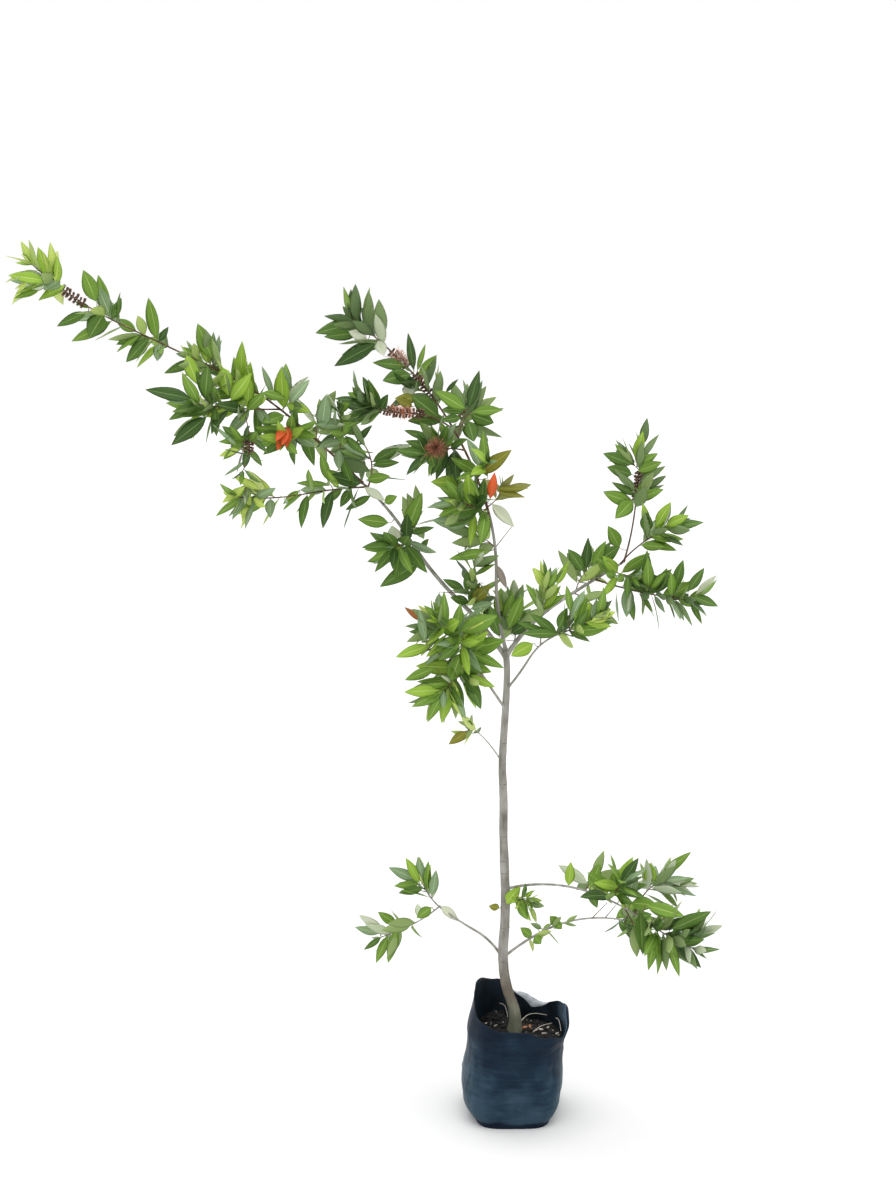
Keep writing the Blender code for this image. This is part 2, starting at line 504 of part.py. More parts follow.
def grow_masses(axes, limbs):
    """The stem, twigs and leaves of every mass. A twig or a leaf is skipped where it would touch a limb
    or another mass. A leaf is also skipped where it would cross a leaf of its own mass, or where its
    middle lies nearer to the stem of another mass than to its own."""
    stems = {}
    wood = {}
    for name, mass in MASSES.items():
        stems[name] = stem_shapes(mass, axes, [limbs, *wood.values()])
        wood[name] = tree_of(stems[name])
    tried = {name: sprouts(mass, axes[mass.branch]) for name, mass in MASSES.items()}
    leaves = {}
    for name in MASSES:
        leaves[name] = list(tried[name][0])
        others = [limbs] + [tree for other, tree in wood.items() if other != name]
        for twig, twig_leaves in tried[name][1]:
            if not meets(twig_shape(twig[1:], LEAF_ROOM), others):
                stems[name].append(twig_shape(twig))
                leaves[name] += twig_leaves
        wood[name] = tree_of(stems[name])
    kept = {name: [] for name in MASSES}
    taken = []
    for name in MASSES:
        others = [limbs] + [tree for other, tree in wood.items() if other != name] + taken
        own = []
        for leaf in leaves[name]:
            if meets(leaf_guard(leaf, OTHERS_CROSSING, LEAF_ROOM), others):
                continue
            if meets(leaf_guard(leaf, OWN_CROSSING, 0.0), own):
                continue
            middle = leaf_point(leaf, 0.5, 0, 0)
            reach = wood[name].find_nearest(middle)[3]
            if any(wood[other].find_nearest(middle, reach)[0] for other in MASSES if other != name):
                continue
            kept[name].append(leaf)
            own.append(tree_of([leaf_guard(leaf, OWN_CROSSING, 0.0)]))
        if kept[name]:
            taken.append(tree_of([leaf_guard(leaf, 0.0, GAP) for leaf in kept[name]]))
    return stems, kept


def bag_ring(height, half_width, half_depth, lean, inset=0.0):
    """One ring round the bag. It is squarer at the foot, and its height may follow the rim."""
    ring = []
    for corner in range(BAG_SIDES):
        turn = 2 * math.pi * corner / BAG_SIDES
        level = height(turn) if callable(height) else height
        blend = min(level / BAG_ROUND_HEIGHT, 1)
        power = BAG_FOOT_SQUARENESS + (BAG_RIM_SQUARENESS - BAG_FOOT_SQUARENESS) * blend
        across = abs(math.cos(turn)) / half_width
        along = abs(math.sin(turn)) / half_depth
        reach = (across ** power + along ** power) ** (-1 / power) - inset
        ring.append((lean + reach * math.cos(turn), reach * math.sin(turn), level))
    return ring


def rim_height(turn):
    """The rim's height in one direction, eased between the heights that are given."""
    place = turn / (2 * math.pi) * len(RIM_HEIGHTS)
    low = int(place)
    ease = (1 - math.cos(math.pi * (place - low))) / 2
    first = RIM_HEIGHTS[low % len(RIM_HEIGHTS)]
    second = RIM_HEIGHTS[(low + 1) % len(RIM_HEIGHTS)]
    return first + (second - first) * ease


def bag_inside(inset, floor):
    """The rings inside the bag, from its uppermost level ring down to the floor."""
    rings = [bag_ring(*ring, inset) for ring in reversed(BAG_RINGS[1:])]
    lowest = [low + (high - low) * floor / BAG_RINGS[1][0] for low, high in zip(*BAG_RINGS[:2])]
    rings.append(bag_ring(*lowest, inset))
    return rings


def bag_shape():
    """The thin open bag: up the outside, over the uneven rim and down the inside to its floor."""
    rings = [bag_ring(*ring) for ring in BAG_RINGS]
    rings.append(bag_ring(rim_height, *BAG_RIM))
    rings.append(bag_ring(rim_height, *BAG_RIM, BAG_WALL))
    rings += bag_inside(BAG_WALL, BAG_FLOOR)
    return [point for ring in rings for point in ring], ring_faces(len(rings), BAG_SIDES)


def soil_shape():
    """The soil that fills the bag, lumpy on top and flat round the trunk's foot."""
    draw = random.Random(7)
    below = bag_inside(BAG_WALL + GAP, BAG_FLOOR + GAP)
    edge = below[0]
    middle = TRUNK_FOOT[0]
    flat = []
    for x, y, _ in edge:
        share = SOIL_FLAT / math.hypot(x - middle, y)
        flat.append((middle + (x - middle) * share, y * share, SOIL_TOP))
    mound = [flat]
    for share in reversed(SOIL_RINGS):
        level = SOIL_TOP + (edge[0][2] - SOIL_TOP) * share * share
        mound.append([
            (middle + (x - middle) * share, y * share, level + draw.uniform(-1, 1) * SOIL_LUMPS)
            for x, y, _ in edge])
    rings = mound + below
    return [point for ring in rings for point in ring], ring_faces(len(rings), BAG_SIDES)


def solid(name, shape):
    """An object with the points and faces of a closed shape, facing out."""
    points, faces = shape
    mesh = bpy.data.meshes.new(name)
    mesh.from_pydata([tuple(point) for point in points], [], faces)
    work = bmesh.new()
    work.from_mesh(mesh)
    bmesh.ops.recalc_face_normals(work, faces=work.faces)
    work.to_mesh(mesh)
    work.free()
    body = bpy.data.objects.new(name, mesh)
    bpy.context.scene.collection.objects.link(body)
    return body


def main_piece(mesh):
    """Keep the largest separate piece of a mesh. True where that piece is closed."""
    work = bmesh.new()
    work.from_mesh(mesh)
    pieces = []
    left = set(work.faces)
    while left:
        piece = {left.pop()}
        edge_of_piece = list(piece)
        while edge_of_piece:
            face = edge_of_piece.pop()
            for edge in face.edges:
                for neighbour in edge.link_faces:
                    if neighbour in left:
                        left.remove(neighbour)
                        piece.add(neighbour)
                        edge_of_piece.append(neighbour)
        pieces.append(piece)
    pieces.sort(key=len)
    spare = [face for piece in pieces[:-1] for face in piece]
    bmesh.ops.delete(work, geom=spare, context="FACES")
    closed = bool(work.edges) and all(edge.is_manifold for edge in work.edges)
    work.to_mesh(mesh)
    work.free()
    return closed


def combine(body, shapes, operation):
    """Join closed shapes to a body, or cut them from it, and leave one closed solid."""
    if not shapes:
        return
    group = bpy.data.collections.new("operands")
    bpy.context.scene.collection.children.link(group)
    for shape in shapes:
        operand = solid("operand", shape)
        operand.display_type = "WIRE"
        operand.hide_render = True
        group.objects.link(operand)
    change = body.modifiers.new(operation.lower(), "BOOLEAN")
    change.operation = operation
    change.operand_type = "COLLECTION"
    change.collection = group
    for solver in ("EXACT", "MANIFOLD"):
        change.solver = solver
        view = bpy.context.evaluated_depsgraph_get()
        result = bpy.data.meshes.new_from_object(body.evaluated_get(view))
        if main_piece(result):
            break
    body.modifiers.clear()
    body.data = result
    for operand in list(group.objects):
        bpy.data.objects.remove(operand)
    bpy.data.collections.remove(group)


def finish(body, look):
    """Give a body its own material and smooth its round faces."""
    colour, roughness, metallic = look
    material = bpy.data.materials.new(body.name)
    material.use_nodes = True
    shader = material.node_tree.nodes["Principled BSDF"]
    shader.inputs["Base Color"].default_value = (*colour, 1)
    shader.inputs["Roughness"].default_value = roughness
    shader.inputs["Metallic"].default_value = metallic
    body.data.materials.clear()
    body.data.materials.append(material)
    body.data.shade_smooth()
    body.data.set_sharp_from_angle(angle=math.radians(50))


def main():
    for old in list(bpy.data.objects):
        bpy.data.objects.remove(old)
    axes = all_axes()
    limbs = {name: bough_shape(name, axes) for name in BOUGHS}
    bag = bag_shape()
    soil = soil_shape()
    finish(solid("grow_bag", bag), FILM)
    finish(solid("soil", soil), SOIL)
    for name, shape in limbs.items():
        body = solid(name, shape)
        clear_of = [bough_shape(other, axes, GAP * 1.1) for other in BOUGHS[name].clear_of]
        combine(body, clear_of, "DIFFERENCE")
        finish(body, BARK)
    stems, leaves = grow_masses(axes, tree_of([bag, soil, *limbs.values()]))
    for name in MASSES:
        body = solid(name, stems[name][0])
        combine(body, stems[name][1:] + [leaf_solid(leaf) for leaf in leaves[name]], "UNION")
        finish(body, YOUNG_GREEN if name in YOUNG_MASSES else LEAF_GREEN)


if __name__ == "__main__":
    main()
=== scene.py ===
"""The look of a young bottlebrush in a black plastic grow bag. Metres, +Z up.

The limbs, the masses and their seeded rule are those of the part's source. Each limb gets bark with relief.
Each mass grows its leaves again as thin folded blades, and then finer twigs and smaller leaves in between.
Leaves that stand out in the photograph are placed one by one.
"""

import json
import math
import random
from collections import namedtuple

import bpy
import numpy as np
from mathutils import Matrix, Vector, noise
from mathutils.bvhtree import BVHTree

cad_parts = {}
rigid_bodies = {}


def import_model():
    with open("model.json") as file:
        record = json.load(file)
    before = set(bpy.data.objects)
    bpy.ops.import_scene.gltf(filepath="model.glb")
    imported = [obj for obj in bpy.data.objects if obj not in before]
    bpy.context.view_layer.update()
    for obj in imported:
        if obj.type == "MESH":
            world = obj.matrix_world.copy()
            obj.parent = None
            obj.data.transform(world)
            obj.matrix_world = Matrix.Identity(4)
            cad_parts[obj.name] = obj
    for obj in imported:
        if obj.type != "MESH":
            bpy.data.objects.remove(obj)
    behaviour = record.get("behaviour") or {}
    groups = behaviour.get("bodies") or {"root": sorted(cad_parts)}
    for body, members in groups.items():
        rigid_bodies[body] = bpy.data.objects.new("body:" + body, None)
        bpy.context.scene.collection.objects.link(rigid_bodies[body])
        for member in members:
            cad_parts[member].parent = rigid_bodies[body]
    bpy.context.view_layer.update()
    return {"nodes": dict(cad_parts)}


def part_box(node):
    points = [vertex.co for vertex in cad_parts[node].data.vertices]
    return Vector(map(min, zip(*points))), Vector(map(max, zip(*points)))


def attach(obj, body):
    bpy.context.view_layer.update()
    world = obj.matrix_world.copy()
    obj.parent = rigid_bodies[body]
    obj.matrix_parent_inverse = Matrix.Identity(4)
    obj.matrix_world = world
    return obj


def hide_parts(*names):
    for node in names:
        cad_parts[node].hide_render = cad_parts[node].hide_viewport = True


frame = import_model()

MM = 0.001

# The camera of the photograph: where it stands, how far it looks down, and its lens
PHOTO_SIZE = (896, 1195)
CAMERA_PLACE = (-0.12413, -3.0, 1.41)
CAMERA_DOWN = 7.8
FOCAL_PIXELS = 1630.0
SENSOR = 36.0

# Grow bag and soil, as in the part's source
BAG_WALL = 2.5 * MM
BAG_RINGS = (
    (0.0, 0.066, 0.086, 0.0), (0.015, 0.080, 0.092, 0.0), (0.03, 0.090, 0.095, 0.0),
    (0.06, 0.0945, 0.096, 0.001), (0.10, 0.0945, 0.095, 0.003), (0.145, 0.091, 0.091, 0.008))
BAG_RIM = (0.091, 0.090, 0.0165)
BAG_FOOT_SQUARENESS = 4.2
BAG_RIM_SQUARENESS = 2.3
BAG_ROUND_HEIGHT = 0.10
RIM_HEIGHTS = (0.208, 0.196, 0.183, 0.200, 0.231, 0.243, 0.232, 0.198, 0.190, 0.189, 0.175, 0.163)
SOIL_TOP = 0.156

# Limbs and foliage, as in the part's source
TRUNK_FOOT = (0.004, 0.0, SOIL_TOP + 0.3 * MM)
TRUNK_FLARE = 5.0 * MM
TRUNK_FLARE_HEIGHT = 0.022
AXIS_STEPS = 48
Branch = namedtuple("Branch", "parent at length base tip turns")
BRANCHES = {
    "trunk": Branch(None, 0.0, 0.747, 21.0, 11.8, (
        (0, 82), (180, 69), (180, 85), (0, 86), (0, 89), (180, 87), (180, 88), (0, 89), (180, 86), (0, 86),
        (0, 87), (0, 88), (180, 84))),
    "leader": Branch("trunk", 1.0, 0.711, 7.0, 2.4, (
        (152, 73), (85, 82), (155, 70), (171, 60), (173, 46), (174, 36))),
    "left": Branch("trunk", 0.98, 0.429, 9.6, 5.2, ((153, 52), (158, 41), (183, 58), (175, 43))),
    "long_left": Branch("left", 1.0, 0.716, 4.8, 1.8, (
        (203, 43), (203, 40), (200, 25), (201, 25), (207, 42))),
    "right": Branch("trunk", 0.985, 0.325, 9.2, 4.8, ((44, 45), (31, 25), (30, 23))),
    "right_up": Branch("right", 1.0, 0.235, 3.8, 2.2, ((33, 69), (64, 76), (55, 76))),
    "thin_right": Branch("trunk", 0.9, 0.283, 4.8, 2.2, ((308, 42), (306, 50), (322, 22), (318, 28))),
    "side_left": Branch("trunk", 0.85, 0.253, 5.2, 2.8, ((220, 50), (229, 50), (218, 36))),
    "low_left": Branch("trunk", 0.195, 0.24, 5.6, 2.6, ((135, 48), (148, 18), (147, 24), (122, 56))),
    "low_right": Branch("trunk", 0.2, 0.312, 5.4, 2.6, ((41, 22), (35, 12), (32, -5), (31, -19))),
    "right_low": Branch("trunk", 0.382, 0.396, 5.0, 2.4, (
        (333, 22), (335, 4), (332, -14), (328, -26), (330, -14))),
    "long_left_low": Branch("long_left", 0.295, 0.183, 3.2, 2.2, ((221, 0), (227, 7))),
    "hanging": Branch("long_left_low", 0.46, 0.155, 2.2, 1.6, ((300, -43), (254, -40))),
    "inner_up": Branch("long_left", 0.25, 0.05, 2.4, 2.0, ((234, 59), (232, 65))),
    "inner_down": Branch("long_left", 0.23, 0.09, 2.4, 2.0, ((257, -21), (254, -15))),
    "inner_right": Branch("long_left", 0.17, 0.065, 2.4, 2.0, ((96, 42), (80, 52))),
    "young": Branch("long_left", 0.1, 0.107, 2.4, 1.8, ((307, 49), (253, 53))),
    "fork": Branch("left", 0.97, 0.128, 3.4, 2.2, ((58, 52), (149, 35))),
    "left_shoot": Branch("left", 0.975, 0.288, 3.4, 2.0, ((216, 0), (220, -6), (222, 8))),
    "left_side": Branch("left", 0.67, 0.067, 2.4, 2.0, ((244, -11), (241, 1))),
    "left_back": Branch("left", 0.71, 0.051, 2.4, 2.0, ((41, 13), (70, 56))),
    "left_foot": Branch("left", 0.19, 0.113, 2.8, 2.0, ((173, 62), (12, 73))),
    "leader_left": Branch("leader", 0.35, 0.103, 2.6, 2.0, ((238, 32), (226, 8))),
    "leader_low": Branch("leader", 0.27, 0.062, 2.4, 2.0, ((126, 35), (136, 0))),
    "leader_right": Branch("leader", 0.38, 0.051, 2.4, 2.0, ((27, 26), (57, 60))),
    "leader_front": Branch("leader", 0.46, 0.085, 2.4, 2.0, ((287, 21), (281, 25))),
    "flower": Branch("leader", 0.54, 0.111, 2.8, 2.2, ((225, 12), (233, -17))),
    "whorl": Branch("leader", 0.58, 0.082, 3.2, 2.6, ((81, 38), (62, 27))),
    "spike": Branch("leader", 0.6, 0.211, 3.2, 2.2, ((212, 36), (210, 1), (214, 27))),
    "right_foot": Branch("right", 0.08, 0.092, 2.8, 2.0, ((66, 55), (109, 54))),
    "right_top": Branch("right", 0.62, 0.086, 2.4, 2.0, ((74, 39), (47, 17))),
    "bright": Branch("right", 0.6, 0.065, 2.4, 2.0, ((4, -24), (6, -51))),
    "right_drop": Branch("right", 0.77, 0.202, 3.6, 2.2, ((334, -15), (334, -8), (334, -3))),
    "right_under": Branch("right", 0.88, 0.083, 2.4, 2.0, ((297, -1), (296, -2))),
    "right_out": Branch("right", 0.97, 0.134, 3.2, 2.2, ((327, 50), (337, 22))),
    "riser": Branch("thin_right", 0.48, 0.125, 2.6, 1.8, ((266, 80), (316, 75))),
    "side_left_low": Branch("side_left", 0.56, 0.104, 2.8, 2.2, ((237, -19), (247, -28))),
    "small": Branch("trunk", 0.71, 0.095, 2.6, 1.8, ((140, 53), (150, 29))),
    "tuft": Branch("trunk", 0.35, 0.053, 2.4, 1.8, ((322, 29), (325, 2))),
    "low_left_out": Branch("low_left", 0.71, 0.165, 2.8, 2.0, ((146, -43), (149, -31), (152, -25))),
    "right_low_in": Branch("right_low", 0.42, 0.052, 2.4, 2.0, ((73, 30), (42, -3))),
    "right_low_mid": Branch("right_low", 0.54, 0.081, 2.4, 2.0, ((290, 42), (291, 43))),
    "right_low_under": Branch("right_low", 0.62, 0.053, 2.4, 2.0, ((16, -54), (32, -73))),
    "right_low_top": Branch("right_low", 0.68, 0.101, 2.8, 2.0, ((53, 63), (29, 37), (16, -17))),
}

# Foliage: the stretch of branch that is the mass's stem, where its leaves begin, how many leaves it tries,
# their length, their angle from the stem at its foot and at its tip, how far they turn up, the seed, the
# colours of its sprays, side twigs and their length, and where old seed capsules sit
Mass = namedtuple(
    "Mass", "branch start end first leaves size spread lift seed colours twigs twig_length capsules",
    defaults=(0, 0, None))
MASSES = {
    "tip_spray": Mass(
        "long_left", 0.83, 1.0, 0.5, 10, 0.072, (60, 30), -0.3, 37, "young", capsules=(0.08, 0.48)),
    "outer_spray": Mass("long_left", 0.73, 0.83, 0.05, 10, 0.078, (70, 50), 0.1, 12, "fresh"),
    "middle_spray": Mass("long_left", 0.56, 0.73, 0.3, 11, 0.074, (70, 45), -0.3, 52, "fresh"),
    "upper_spray": Mass("long_left", 0.31, 0.56, 0.08, 22, 0.08, (65, 45), 0.3, 42, "bright", 2, 0.04),
    "low_spray": Mass("long_left_low", 0.0, 1.0, 0.25, 26, 0.082, (65, 35), 0.3, 34, "fresh", 2, 0.035),
    "hanging_spray": Mass(
        "hanging", 0.0, 1.0, 0.15, 12, 0.056, (70, 50), 0.3, 47, "old", capsules=(0.5, 0.68)),
    "inner_upper_spray": Mass("inner_up", 0.0, 1.0, 0.15, 12, 0.078, (70, 40), -0.3, 15, "bright"),
    "inner_lower_spray": Mass("inner_down", 0.0, 1.0, 0.2, 11, 0.07, (70, 40), 0.3, 17, "fresh"),
    "inner_back_spray": Mass("inner_right", 0.0, 1.0, 0.1, 9, 0.078, (75, 45), -0.3, 24, "pale"),
    "young_tuft": Mass("young", 0.0, 1.0, 0.1, 18, 0.062, (65, 30), -0.3, 43, "fresh", 1, 0.03),
    "fork_tuft": Mass("fork", 0.0, 1.0, 0.15, 13, 0.08, (65, 40), -0.3, 24, "old", 1, 0.04),
    "left_shoot_inner": Mass(
        "left_shoot", 0.0, 0.56, 0.08, 17, 0.074, (75, 60), -0.35, 60, "fresh", 1, 0.03),
    "left_shoot_tip": Mass("left_shoot", 0.56, 1.0, 0.15, 21, 0.068, (65, 30), -0.3, 28, "silver", 2, 0.03),
    "bough_left_tuft": Mass("left_side", 0.0, 1.0, 0.1, 13, 0.08, (75, 40), -0.3, 16, "old"),
    "bough_back_tuft": Mass("left_back", 0.0, 1.0, 0.15, 8, 0.072, (70, 40), -0.3, 11, "pale"),
    "leader_left_tuft": Mass("leader_left", 0.0, 1.0, 0.15, 16, 0.08, (70, 35), 0.3, 31, "fresh", 1, 0.03),
    "leader_low_tuft": Mass("leader_low", 0.0, 1.0, 0.15, 10, 0.08, (75, 40), 0.3, 10, "fresh"),
    "leader_right_tuft": Mass("leader_right", 0.0, 1.0, 0.15, 9, 0.078, (70, 40), 0.0, 32, "olive"),
    "leader_front_tuft": Mass("leader_front", 0.0, 1.0, 0.2, 9, 0.072, (70, 40), 0.3, 23, "fresh"),
    "whorl_tuft": Mass("whorl", 0.0, 1.0, 0.35, 20, 0.08, (85, 25), 0.0, 51, "old"),
    "flower_tuft": Mass("flower", 0.0, 1.0, 0.2, 22, 0.07, (80, 40), 0.1, 1, "old", 1, 0.03),
    "spike_tuft": Mass("spike", 0.0, 1.0, 0.74, 11, 0.072, (50, 30), 0.1, 53, "old", capsules=(0.33, 0.81)),
    "leader_upper_tuft": Mass(
        "leader", 0.67, 0.79, 0.02, 17, 0.076, (70, 50), 0.1, 5, "old", 1, 0.03, (0.2, 0.9)),
    "top_tuft": Mass("leader", 0.79, 1.0, 0.45, 15, 0.086, (65, 35), 0.1, 58, "old", 1, 0.03, (0.06, 0.36)),
    "upper_right_tuft": Mass(
        "right_up", 0.3, 1.0, 0.2, 26, 0.068, (80, 30), 0.3, 22, "old", 2, 0.03, (0.3, 0.66)),
    "outer_right_tuft": Mass("right_out", 0.0, 1.0, 0.45, 12, 0.072, (60, 30), 0.0, 47, "fresh"),
    "lower_right_tuft": Mass("right_drop", 0.0, 1.0, 0.2, 24, 0.074, (70, 40), 0.1, 55, "old", 1, 0.03),
    "right_top_tuft": Mass("right_top", 0.0, 1.0, 0.1, 15, 0.072, (75, 40), 0.3, 41, "fresh", 1, 0.03),
    "right_under_tuft": Mass("right_under", 0.0, 1.0, 0.15, 11, 0.074, (75, 40), -0.3, 17, "fresh"),
    "bright_tuft": Mass("bright", 0.0, 1.0, 0.2, 9, 0.062, (70, 40), -0.1, 52, "bright"),
    "thin_right_tuft": Mass("thin_right", 0.5, 1.0, 0.1, 15, 0.068, (60, 30), 0.3, 59, "fresh", 1, 0.03),
    "riser_tuft": Mass("riser", 0.0, 1.0, 0.4, 12, 0.058, (55, 30), 0.3, 1, "bright"),
    "side_left_upper_tuft": Mass(
        "side_left", 0.58, 1.0, 0.1, 28, 0.084, (70, 40), -0.3, 58, "bright", 2, 0.04),
    "side_left_lower_tuft": Mass(
        "side_left_low", 0.0, 1.0, 0.2, 24, 0.078, (75, 45), -0.3, 34, "bright", 2, 0.03),
    "left_foot_tuft": Mass("left_foot", 0.0, 1.0, 0.25, 18, 0.072, (65, 30), -0.3, 59, "fresh", 1, 0.03),
    "right_foot_tuft": Mass("right_foot", 0.0, 1.0, 0.25, 18, 0.07, (65, 40), -0.1, 24, "fresh", 1, 0.03),
    "small_tuft": Mass("small", 0.0, 1.0, 0.75, 4, 0.05, (60, 40), -0.3, 59, "bright"),
    "low_left_tuft": Mass("low_left", 0.73, 1.0, 0.2, 13, 0.058, (60, 30), 0.3, 10, "silver", 1, 0.02),
    "low_left_end_tuft": Mass("low_left_out", 0.0, 1.0, 0.3, 9, 0.064, (65, 35), 0.1, 31, "pale"),
    "trunk_tuft": Mass("tuft", 0.0, 1.0, 0.3, 8, 0.046, (70, 40), 0.0, 30, "bright"),
    "low_right_pairs": Mass("low_right", 0.19, 0.52, 0.05, 7, 0.038, (65, 60), -0.3, 13, "bright"),
    "right_low_inner_tuft": Mass("right_low_in", 0.0, 1.0, 0.2, 12, 0.074, (75, 40), -0.3, 57, "fresh"),
    "right_low_middle_tuft": Mass("right_low_mid", 0.0, 1.0, 0.15, 14, 0.074, (70, 40), 0.0, 59, "fresh"),
    "right_low_under_tuft": Mass("right_low_under", 0.0, 1.0, 0.2, 9, 0.074, (70, 40), 0.3, 50, "fresh"),
    "right_low_end_tuft": Mass("right_low", 0.71, 1.0, 0.05, 30, 0.076, (70, 35), 0.3, 57, "old", 2, 0.04),
    "right_low_top_tuft": Mass(
        "right_low_top", 0.0, 1.0, 0.4, 15, 0.068, (65, 35), -0.1, 35, "pale", 1, 0.03),
}

# Seeds of what the scene adds to the source's growth
BARK_SEED = 3
SINGLE_SEED = 5
SINGLE_BLADE_SEED = 6
BLADE_SEED = 7
CAPSULE_SEED = 21
FILAMENT_SEED = 22
LITTER_SEED = 31

# Leaves and twigs, as in the part's source
Leaf = namedtuple("Leaf", "root way normal length width bend")
GOLDEN_ANGLE = 137.5
TURN_DRIFT = 25
ANGLE_DRIFT = 10
LEAF_LENGTHS = (0.82, 1.12)
LEAF_WIDTHS = (0.25, 0.31)
LEAF_TILTS = (-50, 50)
LEAF_BENDS = (-0.16, 0.10)
LEAF_WIDEST = 0.42
TWIG_ANGLES = (40, 60)
TWIG_LAST = 0.85
TWIG_LEAVES_FROM = 0.35
TWIG_LEAF_SIZE = 0.9
TWIG_SPREAD = (60, 30)
TWIG_STEPS = 4
TWIG_LENGTHS = (0.8, 1.2)
LEAF_TAPER = (1.05, 0.25)

# How near a leaf's tip or a twig's end lies to the mass's solid where the solid carries it
LEAF_MATCH = 0.8 * MM
TWIG_MATCH = 1.8 * MM

# Finer growth between the leaves of the solids: tries per leaf of the source, their length beside that
# of the mass's leaves, fine twigs and their leaves, and the small leaves round each growing tip
FINE_TRIES = 0.8
FINE_SIZE = 0.92
FINE_SEED = 11
FINE_TWIGS = 3
FINE_TWIG_LENGTH = 0.024
FINE_TWIG_LEAVES = 4
FINE_LEAVES_FROM = 0.4
TIP_LEAVES = 3
TIP_LEAF_SIZE = 0.030
TIP_STRETCH = 0.02
TIP_SPREAD = (30, 12)
BOX_ROOM = 4 * MM
SPARSE_MASSES = (
    "outer_spray", "middle_spray", "bough_left_tuft", "outer_right_tuft", "low_left_end_tuft",
    "low_left_tuft", "low_right_pairs", "right_low_inner_tuft", "right_low_middle_tuft",
    "leader_upper_tuft", "left_shoot_inner", "upper_right_tuft", "small_tuft")
SPARSE_SHARE = 0.3

# Where the photograph shows bare wood, capsules or a leaf of another colour in front of the leaves, in
# circles of (x, y, radius)
BARE = (
    (635, 470, 9), (634, 486, 8), (632, 506, 6), (392, 352, 6), (404, 372, 7), (78, 297, 6), (398, 415, 5),
    (283, 438, 7), (493, 487, 5), (495, 462, 6), (612, 930, 9), (618, 945, 8))

# Where the photograph shows sky among the leaves: circles of (x, y, radius) in pixels that the finer
# growth stays out of
SKY = (
    (28, 250, 12), (12, 265, 6), (70, 250, 8), (115, 290, 8), (75, 340, 8), (130, 325, 10), (120, 350, 6),
    (226, 362, 7), (242, 350, 7), (258, 358, 8), (300, 388, 11), (270, 455, 12), (295, 460, 8),
    (245, 462, 10), (222, 490, 7), (218, 512, 9), (262, 515, 9), (285, 505, 8), (302, 520, 8),
    (323, 523, 7), (345, 515, 8), (337, 408, 9), (352, 430, 9), (376, 440, 13), (375, 472, 8),
    (355, 375, 8), (382, 385, 8), (392, 318, 14), (382, 300, 7), (490, 440, 17), (490, 396, 10),
    (508, 475, 14), (510, 500, 6), (378, 532, 8), (420, 540, 8), (455, 535, 12), (470, 560, 14),
    (482, 575, 10), (440, 490, 5), (646, 423, 10), (655, 440, 8), (662, 480, 9), (692, 525, 14),
    (675, 552, 8), (545, 563, 8), (560, 553, 6), (545, 615, 12), (590, 642, 10), (570, 650, 8),
    (565, 610, 7), (575, 595, 6), (612, 602, 6), (652, 575, 6), (660, 608, 8), (690, 618, 8),
    (712, 620, 8), (445, 615, 12), (485, 667, 8), (478, 706, 9), (445, 715, 8), (408, 665, 8),
    (412, 630, 6), (470, 720, 8), (490, 722, 6), (636, 474, 9), (634, 490, 8), (631, 522, 9),
    (582, 858, 12), (605, 852, 12), (622, 858, 9), (660, 856, 8), (620, 925, 12), (655, 960, 10),
    (712, 930, 7), (712, 955, 9), (690, 975, 9), (405, 940, 12), (415, 905, 6), (408, 932, 8),
    (440, 862, 6))

# Room kept round the outer part of each leaf, and when a leaf counts as standing before bare wood
CROSSING_FROM = 0.28
CROSSING_ROOM = 0.3 * MM
HIDING_SHARE = 0.7
HIDING_DEPTH = 5 * MM

# Blade of a leaf: where it has points along and across, its thickness at the rib, its stalk, its fold along
# the rib, how much wider it is than a leaf of the solids, its curl, twist and ripple, and how rough it is
# above, below and on its rib
BLADE_STATIONS = (0.0, 0.05, 0.10, 0.20, 0.32, 0.44, 0.57, 0.70, 0.82, 0.92, 1.0)
BLADE_THICKNESS = 0.5 * MM
TIP_THICKNESS = 0.15 * MM
STALK_HALF = 0.7 * MM
STALK_SHARE = 0.07
RIB_HALF = 0.045
FOLD_ANGLES = (3, 16)
RIB_RISE = 0.12 * MM
BLADE_ACROSS = (-1.0, -0.55, -RIB_HALF, RIB_HALF, 0.55, 1.0)
BELOW_ACROSS = (-0.55, 0.0, 0.55)
BLADE_WIDER = 1.16
EDGE_CURL = 0.10
LEAF_TWIST = 18
RIPPLE = 0.05
RIPPLE_TURNS = 9
LEAF_SIDES = ("_above", "_below", "_rib")
LEAF_ROUGHNESS = (0.46, 0.75, 0.55)

# Single leaves: their width beside the one read, how far off its branch a foot gets a twig, and the greatest
# depth from foot to tip
SINGLE_WIDER = 0.98
SINGLE_TWIG_FROM = 7 * MM
SINGLE_DEPTH = 0.025

# Colours as they are seen, 0 to 255: blade above, blade below, rib
LEAF_LOOKS = {
    "deep": ((64, 93, 42), (104, 127, 82), (124, 149, 90)),
    "dark": ((86, 119, 48), (123, 146, 94), (146, 171, 98)),
    "mid": ((114, 150, 56), (145, 167, 104), (176, 198, 114)),
    "bright": ((148, 184, 64), (168, 190, 106), (204, 218, 130)),
    "young": ((186, 208, 98), (200, 215, 132), (222, 231, 156)),
    "olive": ((134, 134, 48), (146, 148, 84), (176, 172, 98)),
    "grey": ((132, 158, 114), (188, 200, 168), (188, 202, 166)),
    "white": ((206, 212, 186), (216, 222, 204), (196, 206, 174)),
    "orange": ((220, 94, 46), (210, 102, 62), (230, 130, 80)),
    "rust": ((150, 92, 44), (150, 110, 70), (170, 120, 70)),
    "mauve": ((150, 138, 128), (164, 156, 148), (170, 160, 150)),
}

